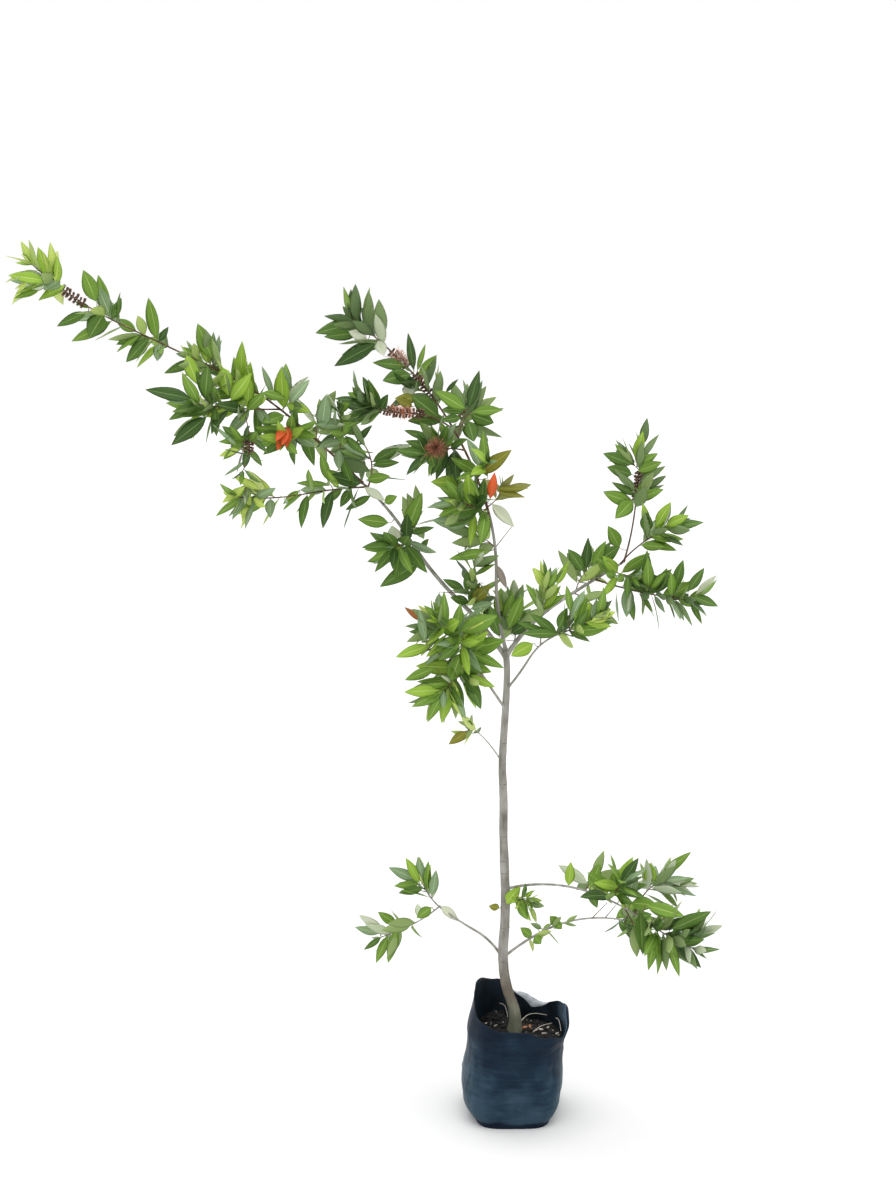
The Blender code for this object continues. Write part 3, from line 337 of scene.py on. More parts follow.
# How often each colour comes in a kind of spray
PALETTES = {
    "old": (("deep", 3), ("dark", 4), ("mid", 4), ("grey", 1)),
    "fresh": (("deep", 1), ("dark", 3), ("mid", 4), ("bright", 2), ("grey", 1)),
    "bright": (("dark", 2), ("mid", 4), ("bright", 4), ("young", 1), ("grey", 1)),
    "young": (("mid", 1), ("bright", 3), ("young", 6), ("grey", 1)),
    "olive": (("olive", 6), ("mid", 1)),
    "pale": (("mid", 3), ("dark", 1), ("grey", 4)),
    "silver": (("young", 3), ("grey", 3), ("mid", 2), ("bright", 1)),
}
MAIN_COLOUR = {
    "old": "dark", "fresh": "mid", "bright": "bright", "young": "young", "olive": "olive", "pale": "grey",
    "silver": "young"}

# Single leaves that stand out in the photograph, by the branch that each stands on: the pixel of its
# foot and of its tip, how many cm nearer its tip is, its width in pixels and its colour
SINGLES = {
    "long_left": (
        (56, 283, 50, 242, 4, 9, "young"), (58, 285, 57, 256, 4, 8, "bright"),
        (52, 280, 42, 250, 3, 5, "young"), (46, 281, 9, 274, 6, 12, "bright"),
        (40, 290, 14, 298, 3, 6, "mid"), (97, 303, 83, 270, 1, 14, "mid"),
        (112, 318, 97, 285, 0, 12, "grey"), (88, 312, 56, 325, 1, 10, "dark"),
        (104, 314, 89, 337, 2, 19, "dark"), (114, 318, 121, 298, 1, 8, "dark"),
        (142, 337, 116, 344, 1, 10, "dark"), (150, 337, 126, 362, 2, 12, "dark"),
        (160, 343, 157, 361, 2, 10, "grey"), (160, 341, 168, 327, 1, 6, "deep"),
        (186, 354, 197, 384, 3, 13, "bright"), (196, 360, 164, 373, 1, 9, "dark"),
        (213, 360, 197, 324, 2, 15, "mid"), (216, 362, 219, 335, 0, 6, "grey"),
        (222, 366, 229, 396, 4, 14, "bright"), (250, 398, 249, 363, 4, 14, "bright"),
        (240, 398, 234, 357, 1, 11, "mid"), (274, 398, 262, 366, 0, 6, "grey"),
        (284, 410, 280, 368, 4, 16, "bright"), (291, 400, 282, 366, 1, 9, "grey"),
        (285, 404, 310, 411, 4, 11, "bright"), (268, 398, 237, 404, 4, 13, "bright"),
        (285, 415, 262, 423, 4, 14, "mid"), (255, 405, 272, 431, 2, 10, "grey"),
        (302, 425, 314, 466, 2, 12, "dark"), (256, 400, 259, 449, 0, 8, "dark"),
        (322, 430, 326, 395, 7, 14, "grey"), (200, 398, 205, 415, 5, 12, "white"),
        (262, 392, 285, 398, 2, 10, "mid"), (66, 285, 38, 300, 2, 12, "bright"),
        (60, 280, 44, 290, 4, 14, "grey")),
    "long_left_low": (
        (193, 399, 145, 389, 1, 13, "deep"), (190, 400, 166, 399, 0, 7, "grey"),
        (200, 406, 168, 419, 1, 9, "dark"), (208, 416, 171, 445, 3, 14, "deep"),
        (205, 415, 191, 439, 0, 4, "grey"), (214, 408, 216, 436, 1, 9, "dark"),
        (205, 398, 208, 366, 4, 15, "dark"), (230, 402, 251, 373, 4, 13, "bright"),
        (222, 404, 200, 378, 2, 10, "mid")),
    "hanging": (
        (241, 449, 212, 424, 0, 4, "grey"), (240, 449, 219, 456, 1, 7, "young"),
        (243, 450, 236, 474, 0, 2, "mauve"), (240, 440, 222, 426, 1, 8, "dark"),
        (246, 440, 256, 432, 1, 7, "deep")),
    "inner_down": (
        (287, 426, 277, 451, 7, 9, "orange"), (289, 427, 286, 447, 7, 8, "orange"),
        (285, 427, 276, 441, 7, 8, "orange"), (287, 428, 282, 445, 7, 9, "orange"),
        (290, 420, 294, 456, 5, 9, "grey")),
    "left_shoot": (
        (352, 487, 340, 507, 2, 9, "dark"), (364, 487, 385, 501, 3, 9, "white"),
        (300, 490, 283, 504, 1, 7, "mid"), (250, 490, 243, 526, 2, 9, "young"),
        (250, 488, 232, 520, 2, 8, "grey"), (246, 486, 222, 503, 2, 8, "young")),
    "fork": (
        (362, 484, 330, 475, 4, 15, "deep"), (356, 442, 372, 425, 1, 7, "deep"),
        (371, 463, 399, 448, 0, 10, "dark"), (371, 465, 399, 462, 2, 8, "dark"),
        (366, 480, 390, 476, 2, 10, "mid")),
    "left": (
        (421, 561, 380, 587, 2, 14, "dark"), (408, 551, 367, 561, 1, 12, "dark"),
        (404, 545, 364, 549, 0, 12, "mid"), (390, 523, 358, 519, 1, 12, "mid"),
        (407, 534, 421, 493, 2, 15, "mid"), (398, 540, 392, 526, 4, 14, "white"),
        (384, 503, 397, 496, 2, 9, "mid"), (372, 495, 345, 509, 2, 8, "dark"),
        (410, 548, 394, 566, 4, 12, "grey"), (410, 534, 434, 527, 2, 7, "dark"),
        (420, 550, 428, 539, 2, 7, "dark"), (412, 536, 404, 522, 4, 9, "grey")),
    "leader": (
        (490, 500, 495, 473, 9, 9, "orange"), (478, 475, 511, 450, 7, 13, "olive"),
        (496, 489, 528, 488, 3, 6, "olive"), (496, 491, 525, 497, 3, 7, "olive"),
        (491, 503, 514, 526, 4, 11, "white"), (490, 551, 449, 559, 3, 10, "mid"),
        (495, 561, 507, 589, 1, 7, "mauve"), (378, 343, 334, 365, 2, 14, "deep"),
        (358, 327, 315, 332, 0, 14, "dark"), (381, 341, 379, 306, 2, 10, "dark"),
        (368, 340, 349, 331, 3, 11, "white"), (378, 340, 384, 356, 3, 11, "white"),
        (414, 372, 408, 333, 2, 8, "deep"), (417, 372, 425, 344, 1, 5, "mid"),
        (418, 375, 437, 355, 2, 8, "mid"), (408, 366, 373, 362, 2, 11, "dark"),
        (412, 374, 383, 380, 3, 15, "dark"), (411, 384, 406, 399, 3, 12, "white"),
        (419, 399, 395, 398, 5, 10, "olive"), (440, 418, 412, 396, 4, 18, "dark"),
        (447, 418, 408, 420, 3, 13, "dark"), (466, 409, 436, 391, 6, 13, "mid"),
        (468, 410, 479, 371, 5, 10, "deep"), (472, 412, 502, 409, 5, 10, "mid"),
        (470, 414, 494, 423, 4, 14, "dark"), (466, 484, 432, 481, 5, 14, "bright"),
        (468, 505, 430, 506, 5, 10, "mid"), (466, 470, 447, 467, 3, 9, "dark"),
        (469, 524, 433, 520, 4, 14, "grey"), (486, 510, 481, 544, 5, 13, "mid"),
        (475, 512, 470, 546, 4, 8, "bright"), (478, 508, 442, 514, 6, 18, "dark"),
        (441, 396, 436, 372, 2, 5, "mid"), (445, 393, 458, 379, 2, 4, "deep"),
        (471, 406, 463, 380, 4, 4, "grey"), (466, 410, 443, 409, 5, 9, "dark"),
        (461, 417, 442, 421, 5, 9, "dark"), (468, 420, 474, 442, 4, 14, "dark"),
        (488, 478, 477, 448, 3, 9, "dark"), (413, 407, 396, 399, 6, 9, "olive")),
    "spike": ((377, 414, 336, 400, 0, 9, "deep"), (379, 411, 363, 377, 2, 11, "deep")),
    "right_up": (
        (633, 465, 604, 453, 2, 12, "dark"), (633, 475, 608, 467, 3, 12, "dark"),
        (635, 462, 616, 440, 0, 5, "grey"), (635, 460, 643, 431, 2, 10, "bright"),
        (636, 465, 658, 453, 1, 8, "mid"), (637, 472, 662, 462, 2, 10, "mid"),
        (632, 503, 604, 493, 3, 12, "mid"), (634, 497, 612, 482, 1, 7, "dark"),
        (635, 500, 648, 477, 1, 8, "mid"), (635, 500, 663, 489, 4, 10, "mid"),
        (633, 500, 616, 518, 4, 14, "mid"), (620, 548, 608, 526, 3, 12, "mid")),
    "right_out": (
        (655, 528, 671, 502, 2, 11, "bright"), (665, 526, 688, 515, 3, 10, "bright"),
        (662, 527, 682, 531, 1, 6, "mid"), (650, 535, 675, 540, 2, 9, "mid"),
        (640, 545, 666, 547, 3, 9, "mid"), (645, 533, 648, 512, 3, 12, "dark")),
    "right_drop": (
        (628, 585, 627, 617, 3, 12, "grey"), (646, 586, 647, 550, 3, 10, "dark"),
        (675, 588, 683, 560, 1, 10, "dark"), (660, 588, 667, 568, 1, 8, "mid"),
        (688, 592, 704, 568, 1, 9, "dark"), (695, 595, 717, 575, 0, 7, "white"),
        (692, 596, 718, 606, 3, 10, "dark"), (690, 600, 702, 624, 2, 6, "dark"),
        (640, 590, 653, 612, 1, 5, "mid"), (655, 592, 665, 613, 1, 5, "grey"),
        (672, 596, 685, 621, 1, 6, "grey")),
    "left_foot": (
        (466, 591, 443, 579, 1, 8, "dark"), (467, 593, 467, 571, 1, 7, "dark"),
        (469, 595, 474, 566, 0, 5, "grey"), (470, 603, 451, 597, 2, 9, "dark"),
        (471, 604, 490, 585, 2, 13, "olive"), (470, 609, 493, 603, 3, 10, "grey"),
        (468, 604, 480, 582, 1, 8, "dark"), (439, 592, 439, 617, 0, 8, "grey")),
    "right_foot": (
        (501, 618, 501, 588, 0, 14, "bright"), (508, 630, 523, 595, 2, 14, "mid"),
        (508, 621, 526, 612, 2, 10, "dark"), (500, 638, 489, 606, 2, 12, "dark"),
        (505, 625, 513, 592, 1, 11, "mid"), (497, 622, 480, 605, 2, 9, "deep"),
        (510, 634, 530, 622, 3, 10, "deep")),
    "right": (
        (584, 572, 568, 549, 1, 12, "dark"), (586, 570, 588, 537, 1, 9, "deep"),
        (594, 564, 620, 546, 3, 14, "dark"), (592, 566, 606, 541, 2, 9, "mid"),
        (612, 572, 600, 556, 3, 9, "dark"), (556, 586, 569, 561, 2, 7, "bright")),
    "riser": ((547, 588, 534, 568, 2, 10, "young"), (549, 590, 557, 570, 2, 6, "mid")),
    "side_left": (
        (424, 622, 404, 607, -2, 6, "rust"), (466, 650, 503, 668, 4, 10, "mid"),
        (459, 632, 497, 616, 5, 18, "mid"), (459, 640, 425, 606, 4, 13, "mid"),
        (458, 636, 432, 611, 3, 8, "dark"), (426, 643, 419, 609, 2, 9, "grey"),
        (463, 646, 488, 632, 6, 13, "bright"), (462, 640, 436, 650, 6, 15, "mid")),
    "side_left_low": (
        (462, 652, 450, 682, 7, 18, "mid"), (470, 670, 473, 694, 4, 15, "dark"),
        (474, 658, 485, 688, 1, 6, "mauve"), (444, 690, 443, 709, 2, 7, "grey"),
        (430, 645, 396, 657, 2, 11, "bright"), (435, 668, 405, 680, 2, 10, "mid"),
        (442, 690, 405, 692, 3, 12, "bright"), (445, 690, 412, 707, 2, 11, "mid"),
        (445, 690, 427, 722, 2, 10, "mid"), (450, 688, 466, 719, 2, 9, "grey")),
    "thin_right": (
        (534, 643, 511, 656, 2, 13, "bright"), (559, 634, 531, 614, 2, 10, "dark"),
        (568, 632, 590, 642, 2, 7, "dark"), (560, 634, 522, 633, 3, 9, "dark"),
        (552, 636, 518, 622, 2, 8, "dark"), (558, 630, 567, 608, 2, 10, "dark"),
        (590, 622, 615, 612, 3, 9, "young"), (585, 622, 611, 626, 3, 8, "bright")),
    "small": ((468, 731, 449, 744, 3, 9, "olive"), (468, 730, 470, 720, 2, 7, "dark")),
    "trunk": ((504, 905, 520, 887, 2, 11, "bright"), (500, 908, 489, 906, 2, 7, "olive")),
    "low_left_out": (
        (440, 905, 459, 921, 2, 9, "white"), (397, 925, 378, 912, 1, 9, "mid"),
        (397, 928, 388, 963, 2, 10, "mid"), (387, 933, 376, 963, 1, 9, "mid"),
        (384, 931, 359, 915, 1, 9, "white"), (380, 934, 355, 927, 0, 8, "grey"),
        (382, 936, 364, 950, 1, 6, "dark"), (432, 907, 417, 918, 2, 10, "mid")),
    "low_left": (
        (420, 884, 406, 858, 2, 9, "bright"), (424, 886, 418, 857, 1, 9, "grey"),
        (428, 890, 428, 862, 1, 8, "mid"), (432, 896, 436, 870, 2, 9, "grey"),
        (418, 880, 389, 868, 2, 10, "grey"), (420, 884, 394, 886, 2, 8, "mid"),
        (424, 888, 399, 893, 3, 8, "dark")),
    "low_right": (
        (532, 938, 521, 928, 1, 9, "mid"), (534, 936, 541, 944, 2, 9, "mid"),
        (557, 924, 550, 916, 1, 9, "mid"), (556, 922, 562, 929, 2, 8, "mid"),
        (624, 920, 652, 914, 0, 12, "dark"), (622, 920, 651, 931, -2, 12, "mid"),
        (625, 920, 641, 946, 1, 11, "dark"), (618, 919, 634, 938, -2, 9, "dark"),
        (625, 920, 665, 923, -4, 13, "mid"), (623, 920, 646, 906, -3, 11, "dark"),
        (615, 919, 637, 902, -2, 10, "mid")),
    "right_low": (
        (567, 884, 571, 862, 0, 10, "bright"), (590, 888, 600, 864, 1, 12, "mid"),
        (590, 890, 597, 908, 2, 9, "dark"), (620, 898, 612, 873, 3, 16, "mid"),
        (628, 898, 636, 872, 3, 12, "grey"), (640, 910, 643, 955, 4, 14, "dark"),
        (630, 903, 657, 905, 4, 14, "mid"), (645, 905, 684, 916, 6, 14, "mid"),
        (670, 930, 711, 912, 4, 14, "dark"), (675, 940, 704, 940, 3, 10, "dark"),
        (668, 935, 680, 977, 4, 9, "mid")),
    "right_low_top": (
        (650, 885, 650, 863, 2, 12, "bright"), (660, 876, 691, 852, 2, 9, "mid"),
        (665, 880, 700, 887, 2, 6, "white"), (662, 885, 697, 896, 2, 5, "grey")),
}

# Bare side twigs: the branch, the pixel where each leaves it and the pixel of its end
BARE_TWIGS = (
    ("low_right", (593, 916), (607, 903)), ("low_right", (604, 917), (616, 905)),
    ("leader", (497, 545), (513, 525)))

# Seed capsules: the spacing of their rings, how many in a ring, an urn's size, and its profile as
# (height, radius) in shares of that size
CAPSULE_STEP = 6.6 * MM
CAPSULES_ROUND = 4
CAPSULE_SIZE = 9.0 * MM
CAPSULE_SIDES = 8
CAPSULE_PROFILE = (
    (0.0, 0.12), (0.18, 0.18), (0.50, 0.26), (0.82, 0.28), (1.0, 0.23), (0.92, 0.16), (0.72, 0.03))

# Filaments left on the capsules: the stretch of the stem, their number, length and colours
Filaments = namedtuple("Filaments", "mass start end count length colours")
FILAMENTS = (
    Filaments("spike_tuft", 0.46, 0.68, 190, 0.015, (("pink", 4), ("cream", 1))),
    Filaments("spike_tuft", 0.66, 0.81, 30, 0.009, (("cream", 1),)),
    Filaments("top_tuft", 0.06, 0.28, 300, 0.018, (("pink", 2), ("cream", 3))),
    Filaments("leader_upper_tuft", 0.45, 0.80, 60, 0.010, (("pink", 1), ("cream", 1))),
    Filaments("upper_right_tuft", 0.34, 0.62, 130, 0.012, (("cream", 3), ("rust", 1))),
    Filaments("flower_tuft", 0.44, 0.74, 160, 0.015, (("rust", 6), ("pink", 1), ("olive", 3))),
)
FILAMENT_RADIUS = 0.42 * MM
FILAMENT_HEAD = 0.55 * MM
FILAMENT_COLOURS = {
    "pink": (228, 142, 112), "cream": (232, 222, 208), "rust": (142, 84, 64), "olive": (122, 112, 62)}

# The faded flower in front: its branch, its pixel, how much nearer than the branch it stands, how many
# filaments it has, how long they are and their colours. Then the radii of its short stalk
FLOWER = ("flower", (436, 447), 0.060, 460, 0.020, (("rust", 6), ("pink", 1), ("olive", 2)))
FLOWER_STALK = (1.3 * MM, 1.2 * MM, 1.6 * MM)

# Bark: the stretches of branch with light grey bark. The rest has thin brown bark
GREY_BARK = {
    "trunk": (0.0, 1.0), "leader": (0.0, 0.36), "left": (0.0, 1.0), "right": (0.0, 1.0),
    "thin_right": (0.0, 1.0), "side_left": (0.0, 1.0), "low_left": (0.0, 1.0), "low_right": (0.0, 1.0),
    "right_low": (0.0, 1.0), "left_foot": (0.0, 1.0), "right_foot": (0.0, 1.0), "small": (0.0, 1.0),
    "tuft": (0.0, 1.0), "low_left_out": (0.0, 1.0), "riser": (0.0, 1.0)}

# Limbs: how far apart their rings of points are, how many points a ring has, from what width in mm a limb
# counts as thick, the collar at a bough's foot, and how trunk and boughs narrow at their ends
BARK_STEP = 2.2 * MM
TRUNK_SIDES = 32
BOUGH_SIDES = 14
TWIG_SIDES = 8
COLLAR = 0.45
COLLAR_LENGTH = 7.0 * MM
THICK_LIMB = 4
TRUNK_TOP = (1.6 * MM, 0.012)
LIMB_TIP = (0.35, 0.008)

# How far the bark of the trunk goes into the soil, and the leaf scars: the rows and the column of the
# trunk's in the photograph, and the spacing, height and width of all
TRUNK_SUNK = 12 * MM
TRUNK_RINGS = (740, 762, 781, 833, 858, 870, 905, 925, 958)
TRUNK_COLUMN = 505
SCAR_SPACING = (0.014, 0.042)
SCAR_HEIGHT = 0.8 * MM
SCAR_WIDTH = 1.3 * MM

# The bark's coarse and fine relief: its part of the radius, how fine it is round the limb and along it. Then
# the grey bark's tones
BARK_RELIEF = ((0.09, 1.3, 22), (0.045, 4.5, 90))
BARK_TONES = (
    (0.30, (118, 113, 104)), (0.44, (143, 140, 132)), (0.58, (162, 160, 153)), (0.78, (182, 180, 174)))

# What the bark's colour is multiplied by, over the lowest stretch of the trunk
FOOT_HEIGHTS = (0.16, 0.30)
FOOT_SHARE = 0.9
FOOT_TONES = (
    (0.0, (192, 204, 178)), (0.36, (200, 204, 184)), (0.46, (178, 168, 152)), (0.60, (162, 150, 136)),
    (0.76, (198, 192, 182)), (1.0, (244, 244, 244)))

# Film of the bag: its columns and rows of points, its thickness and how far down its inside goes
FILM_COLUMNS = 216
FILM_ROWS = 96
FILM_THICKNESS = 0.9 * MM
INSIDE_ROWS = 25
INSIDE_DOWN_TO = 0.140

# The film's slack and dents: how deep they are, how fine round the bag and up it, and a start of the noise.
# Then the small waves of its edge, half the width of a crease and of a fold, and how a fold sways and ends
SLACK = ((2.6 * MM, 1.6, 14, 0), (1.5 * MM, 3.4, 44, 5))
RIM_WAVES = 1.2 * MM
CREASE_HALF = 2.6 * MM
FOLD_HALF = 3.8
FOLD_SWAY = 5
FOLD_ENDS = 0.04
RELIEF_FROM = 0.02

# Where the wall stands out: the turn, half its width in degrees, the height where it stands out most,
# half its height, and how far it stands out. The rim curls in at the right: turn, half its width in
# degrees, height and reach of the curl
BULGES = (
    (352, 30, 0.176, 0.020, 4.5 * MM), (188, 60, 0.060, 0.060, 4.0 * MM), (10, 40, 0.050, 0.040, 2.0 * MM),
    (188, 45, 0.168, 0.034, 4.5 * MM))
CURL = (352, 40, 0.010, 6.0 * MM)

# How far the film spreads at its foot, and over what height
FOOT_SPREAD = 5.0 * MM
FOOT_SPREAD_HEIGHT = 0.012

# The strip of film folded over at the back right: its turns, its depth and how far inside the wall it lies
STRIP_TURNS = (99, 50)
STRIP_DEPTH = 0.018
STRIP_INSET = 2.4 * MM
STRIP_COLUMNS = 40
STRIP_ROWS = 10
STRIP_THICKNESS = 0.7 * MM

# Creases that run round the bag: height, turn, width in degrees, depth in mm, rise per degree
CREASES = (
    (0.112, 268, 30, 1.2, 0.00010), (0.101, 255, 36, -0.9, 0.00006), (0.090, 285, 30, 1.0, -0.00005),
    (0.078, 262, 34, 0.9, 0.00004), (0.066, 290, 28, -0.9, 0.00008), (0.055, 250, 30, 1.0, 0.00003),
    (0.150, 290, 26, 1.6, 0.00035), (0.138, 305, 22, -1.4, 0.00030), (0.035, 270, 40, -0.8, 0.0),
    (0.100, 80, 34, 1.1, 0.0001), (0.075, 110, 34, -1.0, 0.0), (0.120, 20, 30, 1.0, -0.0001),
    (0.085, 170, 30, 1.2, 0.0001), (0.140, 200, 24, -1.3, 0.0002), (0.060, 350, 30, 1.0, 0.0001))

# Folds that run up the bag: turn, lowest and highest point, depth in mm, lean in degrees per metre
FOLDS = (
    (309, 0.03, 0.15, -1.3, 70), (318, 0.02, 0.12, 1.0, 30), (230, 0.03, 0.15, -1.1, -90),
    (223, 0.02, 0.12, 0.9, -40), (48, 0.02, 0.17, -1.6, 20), (132, 0.02, 0.20, -1.6, -20),
    (335, 0.08, 0.18, 1.2, 160), (205, 0.08, 0.20, 1.1, -110), (285, 0.11, 0.18, -0.9, 190))

# The litter on the soil: how many chips are strewn at random, pieces at (pixel, size, tone), straws as
# (pixels, rise), and the sizes and the tones of the strewn chips, which are smaller where they are pale
LITTER_PIECES = 260
LITTER_PLACES = (
    ((519, 1029), 0.016, 2), ((525, 1028), 0.014, 2), ((530, 1027), 0.012, 2), ((517, 1026), 0.010, 1),
    ((483, 1018), 0.014, 1), ((488, 1020), 0.014, 2), ((486, 1024), 0.009, 3), ((493, 1023), 0.014, 3),
    ((496, 1026), 0.010, 3), ((502, 1012), 0.012, 1), ((541, 1030), 0.010, 3), ((548, 1028), 0.009, 3),
    ((553, 1031), 0.010, 3), ((544, 1034), 0.012, 3), ((557, 1034), 0.010, 3), ((536, 1031), 0.009, 3))
STRAWS = (
    (((521, 1021), (527, 1017), (535, 1015), (547, 1015)), 0.004),
    (((556, 1018), (559, 1022), (561, 1031)), 0.003),
    (((500, 1003), (505, 1008), (508, 1017)), 0.004),
    (((533, 1032), (541, 1027), (552, 1023)), 0.002))
STRAW_RADIUS = 0.9 * MM
INSIDE_TRIES = 40
CHIP_SIZES = (0.003, 0.013)
CHIP_TONES = ((0, 14), (1, 4), (2, 0.3), (3, 1.3))
PALE_CHIP = 3
PALE_CHIP_SIZE = 0.45

# The soil's surface: its rings and columns, its lumps and grain as (depth, how many to the metre), and the
# heap at the back left: where its top is, how far it reaches and how high it is
SOIL_RINGS = 34
SOIL_COLUMNS = 150
SOIL_LUMPS = (2.4 * MM, 60)
SOIL_GRAIN = (1.5 * MM, 240)
SOIL_HEAP = (-0.036, 0.060)
SOIL_HEAP_REACH = 0.026
SOIL_HEAP_HEIGHT = 22 * MM

# Floor and light
FLOOR_SIZE = 400
FLOOR_TONE = (234, 234, 234)
SUN_STRENGTH = 1.5
SUN_ANGLE = 50
SUN_HEADING = (0.03, -0.10, -1.0)


def rgb(colour):
    """A colour seen as 0 to 255, in the linear values that a shader takes."""
    return tuple(((c / 255 + 0.055) / 1.055) ** 2.4 if c > 10 else c / 255 / 12.92 for c in colour)


def heading(azimuth, elevation):
    """Unit vector for an azimuth and an elevation in degrees."""
    a = math.radians(azimuth)
    e = math.radians(elevation)
    return np.array([math.cos(e) * math.cos(a), math.cos(e) * math.sin(a), math.sin(e)])


def unit(vector):
    return vector / np.linalg.norm(vector)


def axis_of(start, length, turns):
    """Points along a branch that follows its headings, blended along its length."""
    heads = [heading(*turn) for turn in turns]
    spans = len(heads) - 1
    points = [np.array(start, float)]
    for step in range(AXIS_STEPS):
        place = (step + 0.5) / AXIS_STEPS * spans
        span = min(int(place), spans - 1)
        way = heads[span] * (1 - (place - span)) + heads[span + 1] * (place - span)
        points.append(points[-1] + unit(way) * length / AXIS_STEPS)
    return np.array(points)


def point_on(axis, share):
    place = share * (len(axis) - 1)
    low = min(int(place), len(axis) - 2)
    return axis[low] + (axis[low + 1] - axis[low]) * (place - low)


def way_on(axis, share):
    low = min(int(share * (len(axis) - 1)), len(axis) - 2)
    return unit(axis[low + 1] - axis[low])


def all_axes():
    """The axis of every branch, from the trunk outwards."""
    axes = {}
    for name, branch in BRANCHES.items():
        start = point_on(axes[branch.parent], branch.at) if branch.parent else TRUNK_FOOT
        axes[name] = axis_of(start, branch.length, branch.turns)
    return axes


def side_frame(way):
    """Two directions square to a limb, the first one level."""
    side = np.cross(way, (0, 0, 1))
    if np.linalg.norm(side) < 0.05:
        side = np.cross(way, (0, 1, 0))
    side = unit(side)
    return side, np.cross(side, way)


def beside(way, turn):
    """The direction square to a limb at a turn round it in degrees."""
    side, over = side_frame(way)
    return side * math.cos(math.radians(turn)) + over * math.sin(math.radians(turn))


def leaves_on(axis, first, last, count, size, spread, lift, draw):
    """Leaves in a golden-angle spiral on one stretch of a stem or twig."""
    leaves = []
    phase = draw.uniform(0, 360)
    for number in range(count):
        share = (number + 0.5) / count
        place = first + (last - first) * share
        stem = way_on(axis, place)
        side = beside(stem, phase + number * GOLDEN_ANGLE + draw.uniform(-TURN_DRIFT, TURN_DRIFT))
        angle = spread[0] + (spread[1] - spread[0]) * share + draw.uniform(-ANGLE_DRIFT, ANGLE_DRIFT)
        angle = math.radians(angle)
        way = unit(stem * math.cos(angle) + side * math.sin(angle) + np.array([0, 0, lift]))
        length = size * (LEAF_TAPER[0] - LEAF_TAPER[1] * share) * draw.uniform(*LEAF_LENGTHS)
        normal = stem - way * stem.dot(way)
        normal = unit(normal) if np.linalg.norm(normal) > 0.05 else side_frame(way)[1]
        tilt = math.radians(draw.uniform(*LEAF_TILTS))
        normal = normal * math.cos(tilt) + np.cross(way, normal) * math.sin(tilt)
        width = length * draw.uniform(*LEAF_WIDTHS)
        leaves.append(Leaf(point_on(axis, place), way, normal, length, width, draw.uniform(*LEAF_BENDS)))
    return leaves


def twigs_on(axis, mass, draw):
    """Side twigs in a golden-angle spiral on the leafy part of the stem."""
    twigs = []
    phase = draw.uniform(0, 360)
    for number in range(mass.twigs):
        share = mass.first + (TWIG_LAST - mass.first) * (number + 0.5) / mass.twigs
        place = mass.start + (mass.end - mass.start) * share
        stem = way_on(axis, place)
        angle = math.radians(draw.uniform(*TWIG_ANGLES))
        way = unit(stem * math.cos(angle) + beside(stem, phase + number * GOLDEN_ANGLE) * math.sin(angle))
        length = mass.twig_length * draw.uniform(*TWIG_LENGTHS)
        root = point_on(axis, place)
        twigs.append(np.array([root + way * length * step / TWIG_STEPS for step in range(TWIG_STEPS + 1)]))
    return twigs


def sprouts(mass, axis):
    """What one mass tries to grow: the leaves on its stem, and each twig with its leaves."""
    draw = random.Random(mass.seed)
    twigs = twigs_on(axis, mass, draw)
    on_twig = max(3, mass.leaves // 4) if twigs else 0
    on_stem = mass.leaves - on_twig * len(twigs)
    first = mass.start + (mass.end - mass.start) * mass.first
    leaves = leaves_on(axis, first, mass.end, on_stem, mass.size, mass.spread, mass.lift, draw)
    small = mass.size * TWIG_LEAF_SIZE
    return leaves, [
        (twig, leaves_on(twig, TWIG_LEAVES_FROM, 1.0, on_twig, small, TWIG_SPREAD, mass.lift, draw))
        for twig in twigs]


def leaf_point(leaf, share, across=0.0):
    """A point of a leaf, from its share of the length and its place across."""
    curve = leaf.normal * (leaf.bend * leaf.length * share * share)
    return leaf.root + leaf.way * leaf.length * share + curve + np.cross(leaf.normal, leaf.way) * across


def tree_of(parts):
    """A search tree over the points and faces of some parts taken together."""
    points = []
    faces = []
    for part_points, part_faces in parts:
        base = len(points)
        points += [tuple(point) for point in part_points]
        faces += [tuple(index + base for index in face) for face in part_faces]
    return BVHTree.FromPolygons(points, faces)


def node_tree(*names):
    """A search tree over the faces of some solids of the frame."""
    meshes = [frame["nodes"][name].data for name in names]
    return tree_of([
        ([vertex.co for vertex in mesh.vertices], [polygon.vertices for polygon in mesh.polygons])
        for mesh in meshes])


def guard(leaf):
    """A flat spindle round the free part of a leaf."""
    wide = leaf.width / 2 + CROSSING_ROOM
    lift = leaf.normal * CROSSING_ROOM
    points = [
        leaf_point(leaf, CROSSING_FROM), leaf_point(leaf, LEAF_WIDEST, -wide),
        leaf_point(leaf, LEAF_WIDEST) + lift, leaf_point(leaf, LEAF_WIDEST, wide),
        leaf_point(leaf, LEAF_WIDEST) - lift, leaf_point(leaf, 1.0)]
    return points, [(end, 1 + side, 1 + (side + 1) % 4) for end in (0, 5) for side in range(4)]


def guard_tree(leaves):
    return tree_of([guard(leaf) for leaf in leaves])


def source_growth(name, axes):
    """The leaves and twigs of one mass that its solid carries."""
    mass = MASSES[name]
    tree = node_tree(name)
    leaves, twigs = sprouts(mass, axes[mass.branch])
    kept_twigs = []
    for twig, twig_leaves in twigs:
        if tree.find_nearest(twig[-1])[3] < TWIG_MATCH:
            kept_twigs.append(twig)
            leaves = leaves + twig_leaves
    return [leaf for leaf in leaves if tree.find_nearest(leaf_point(leaf, 1.0))[3] < LEAF_MATCH], kept_twigs


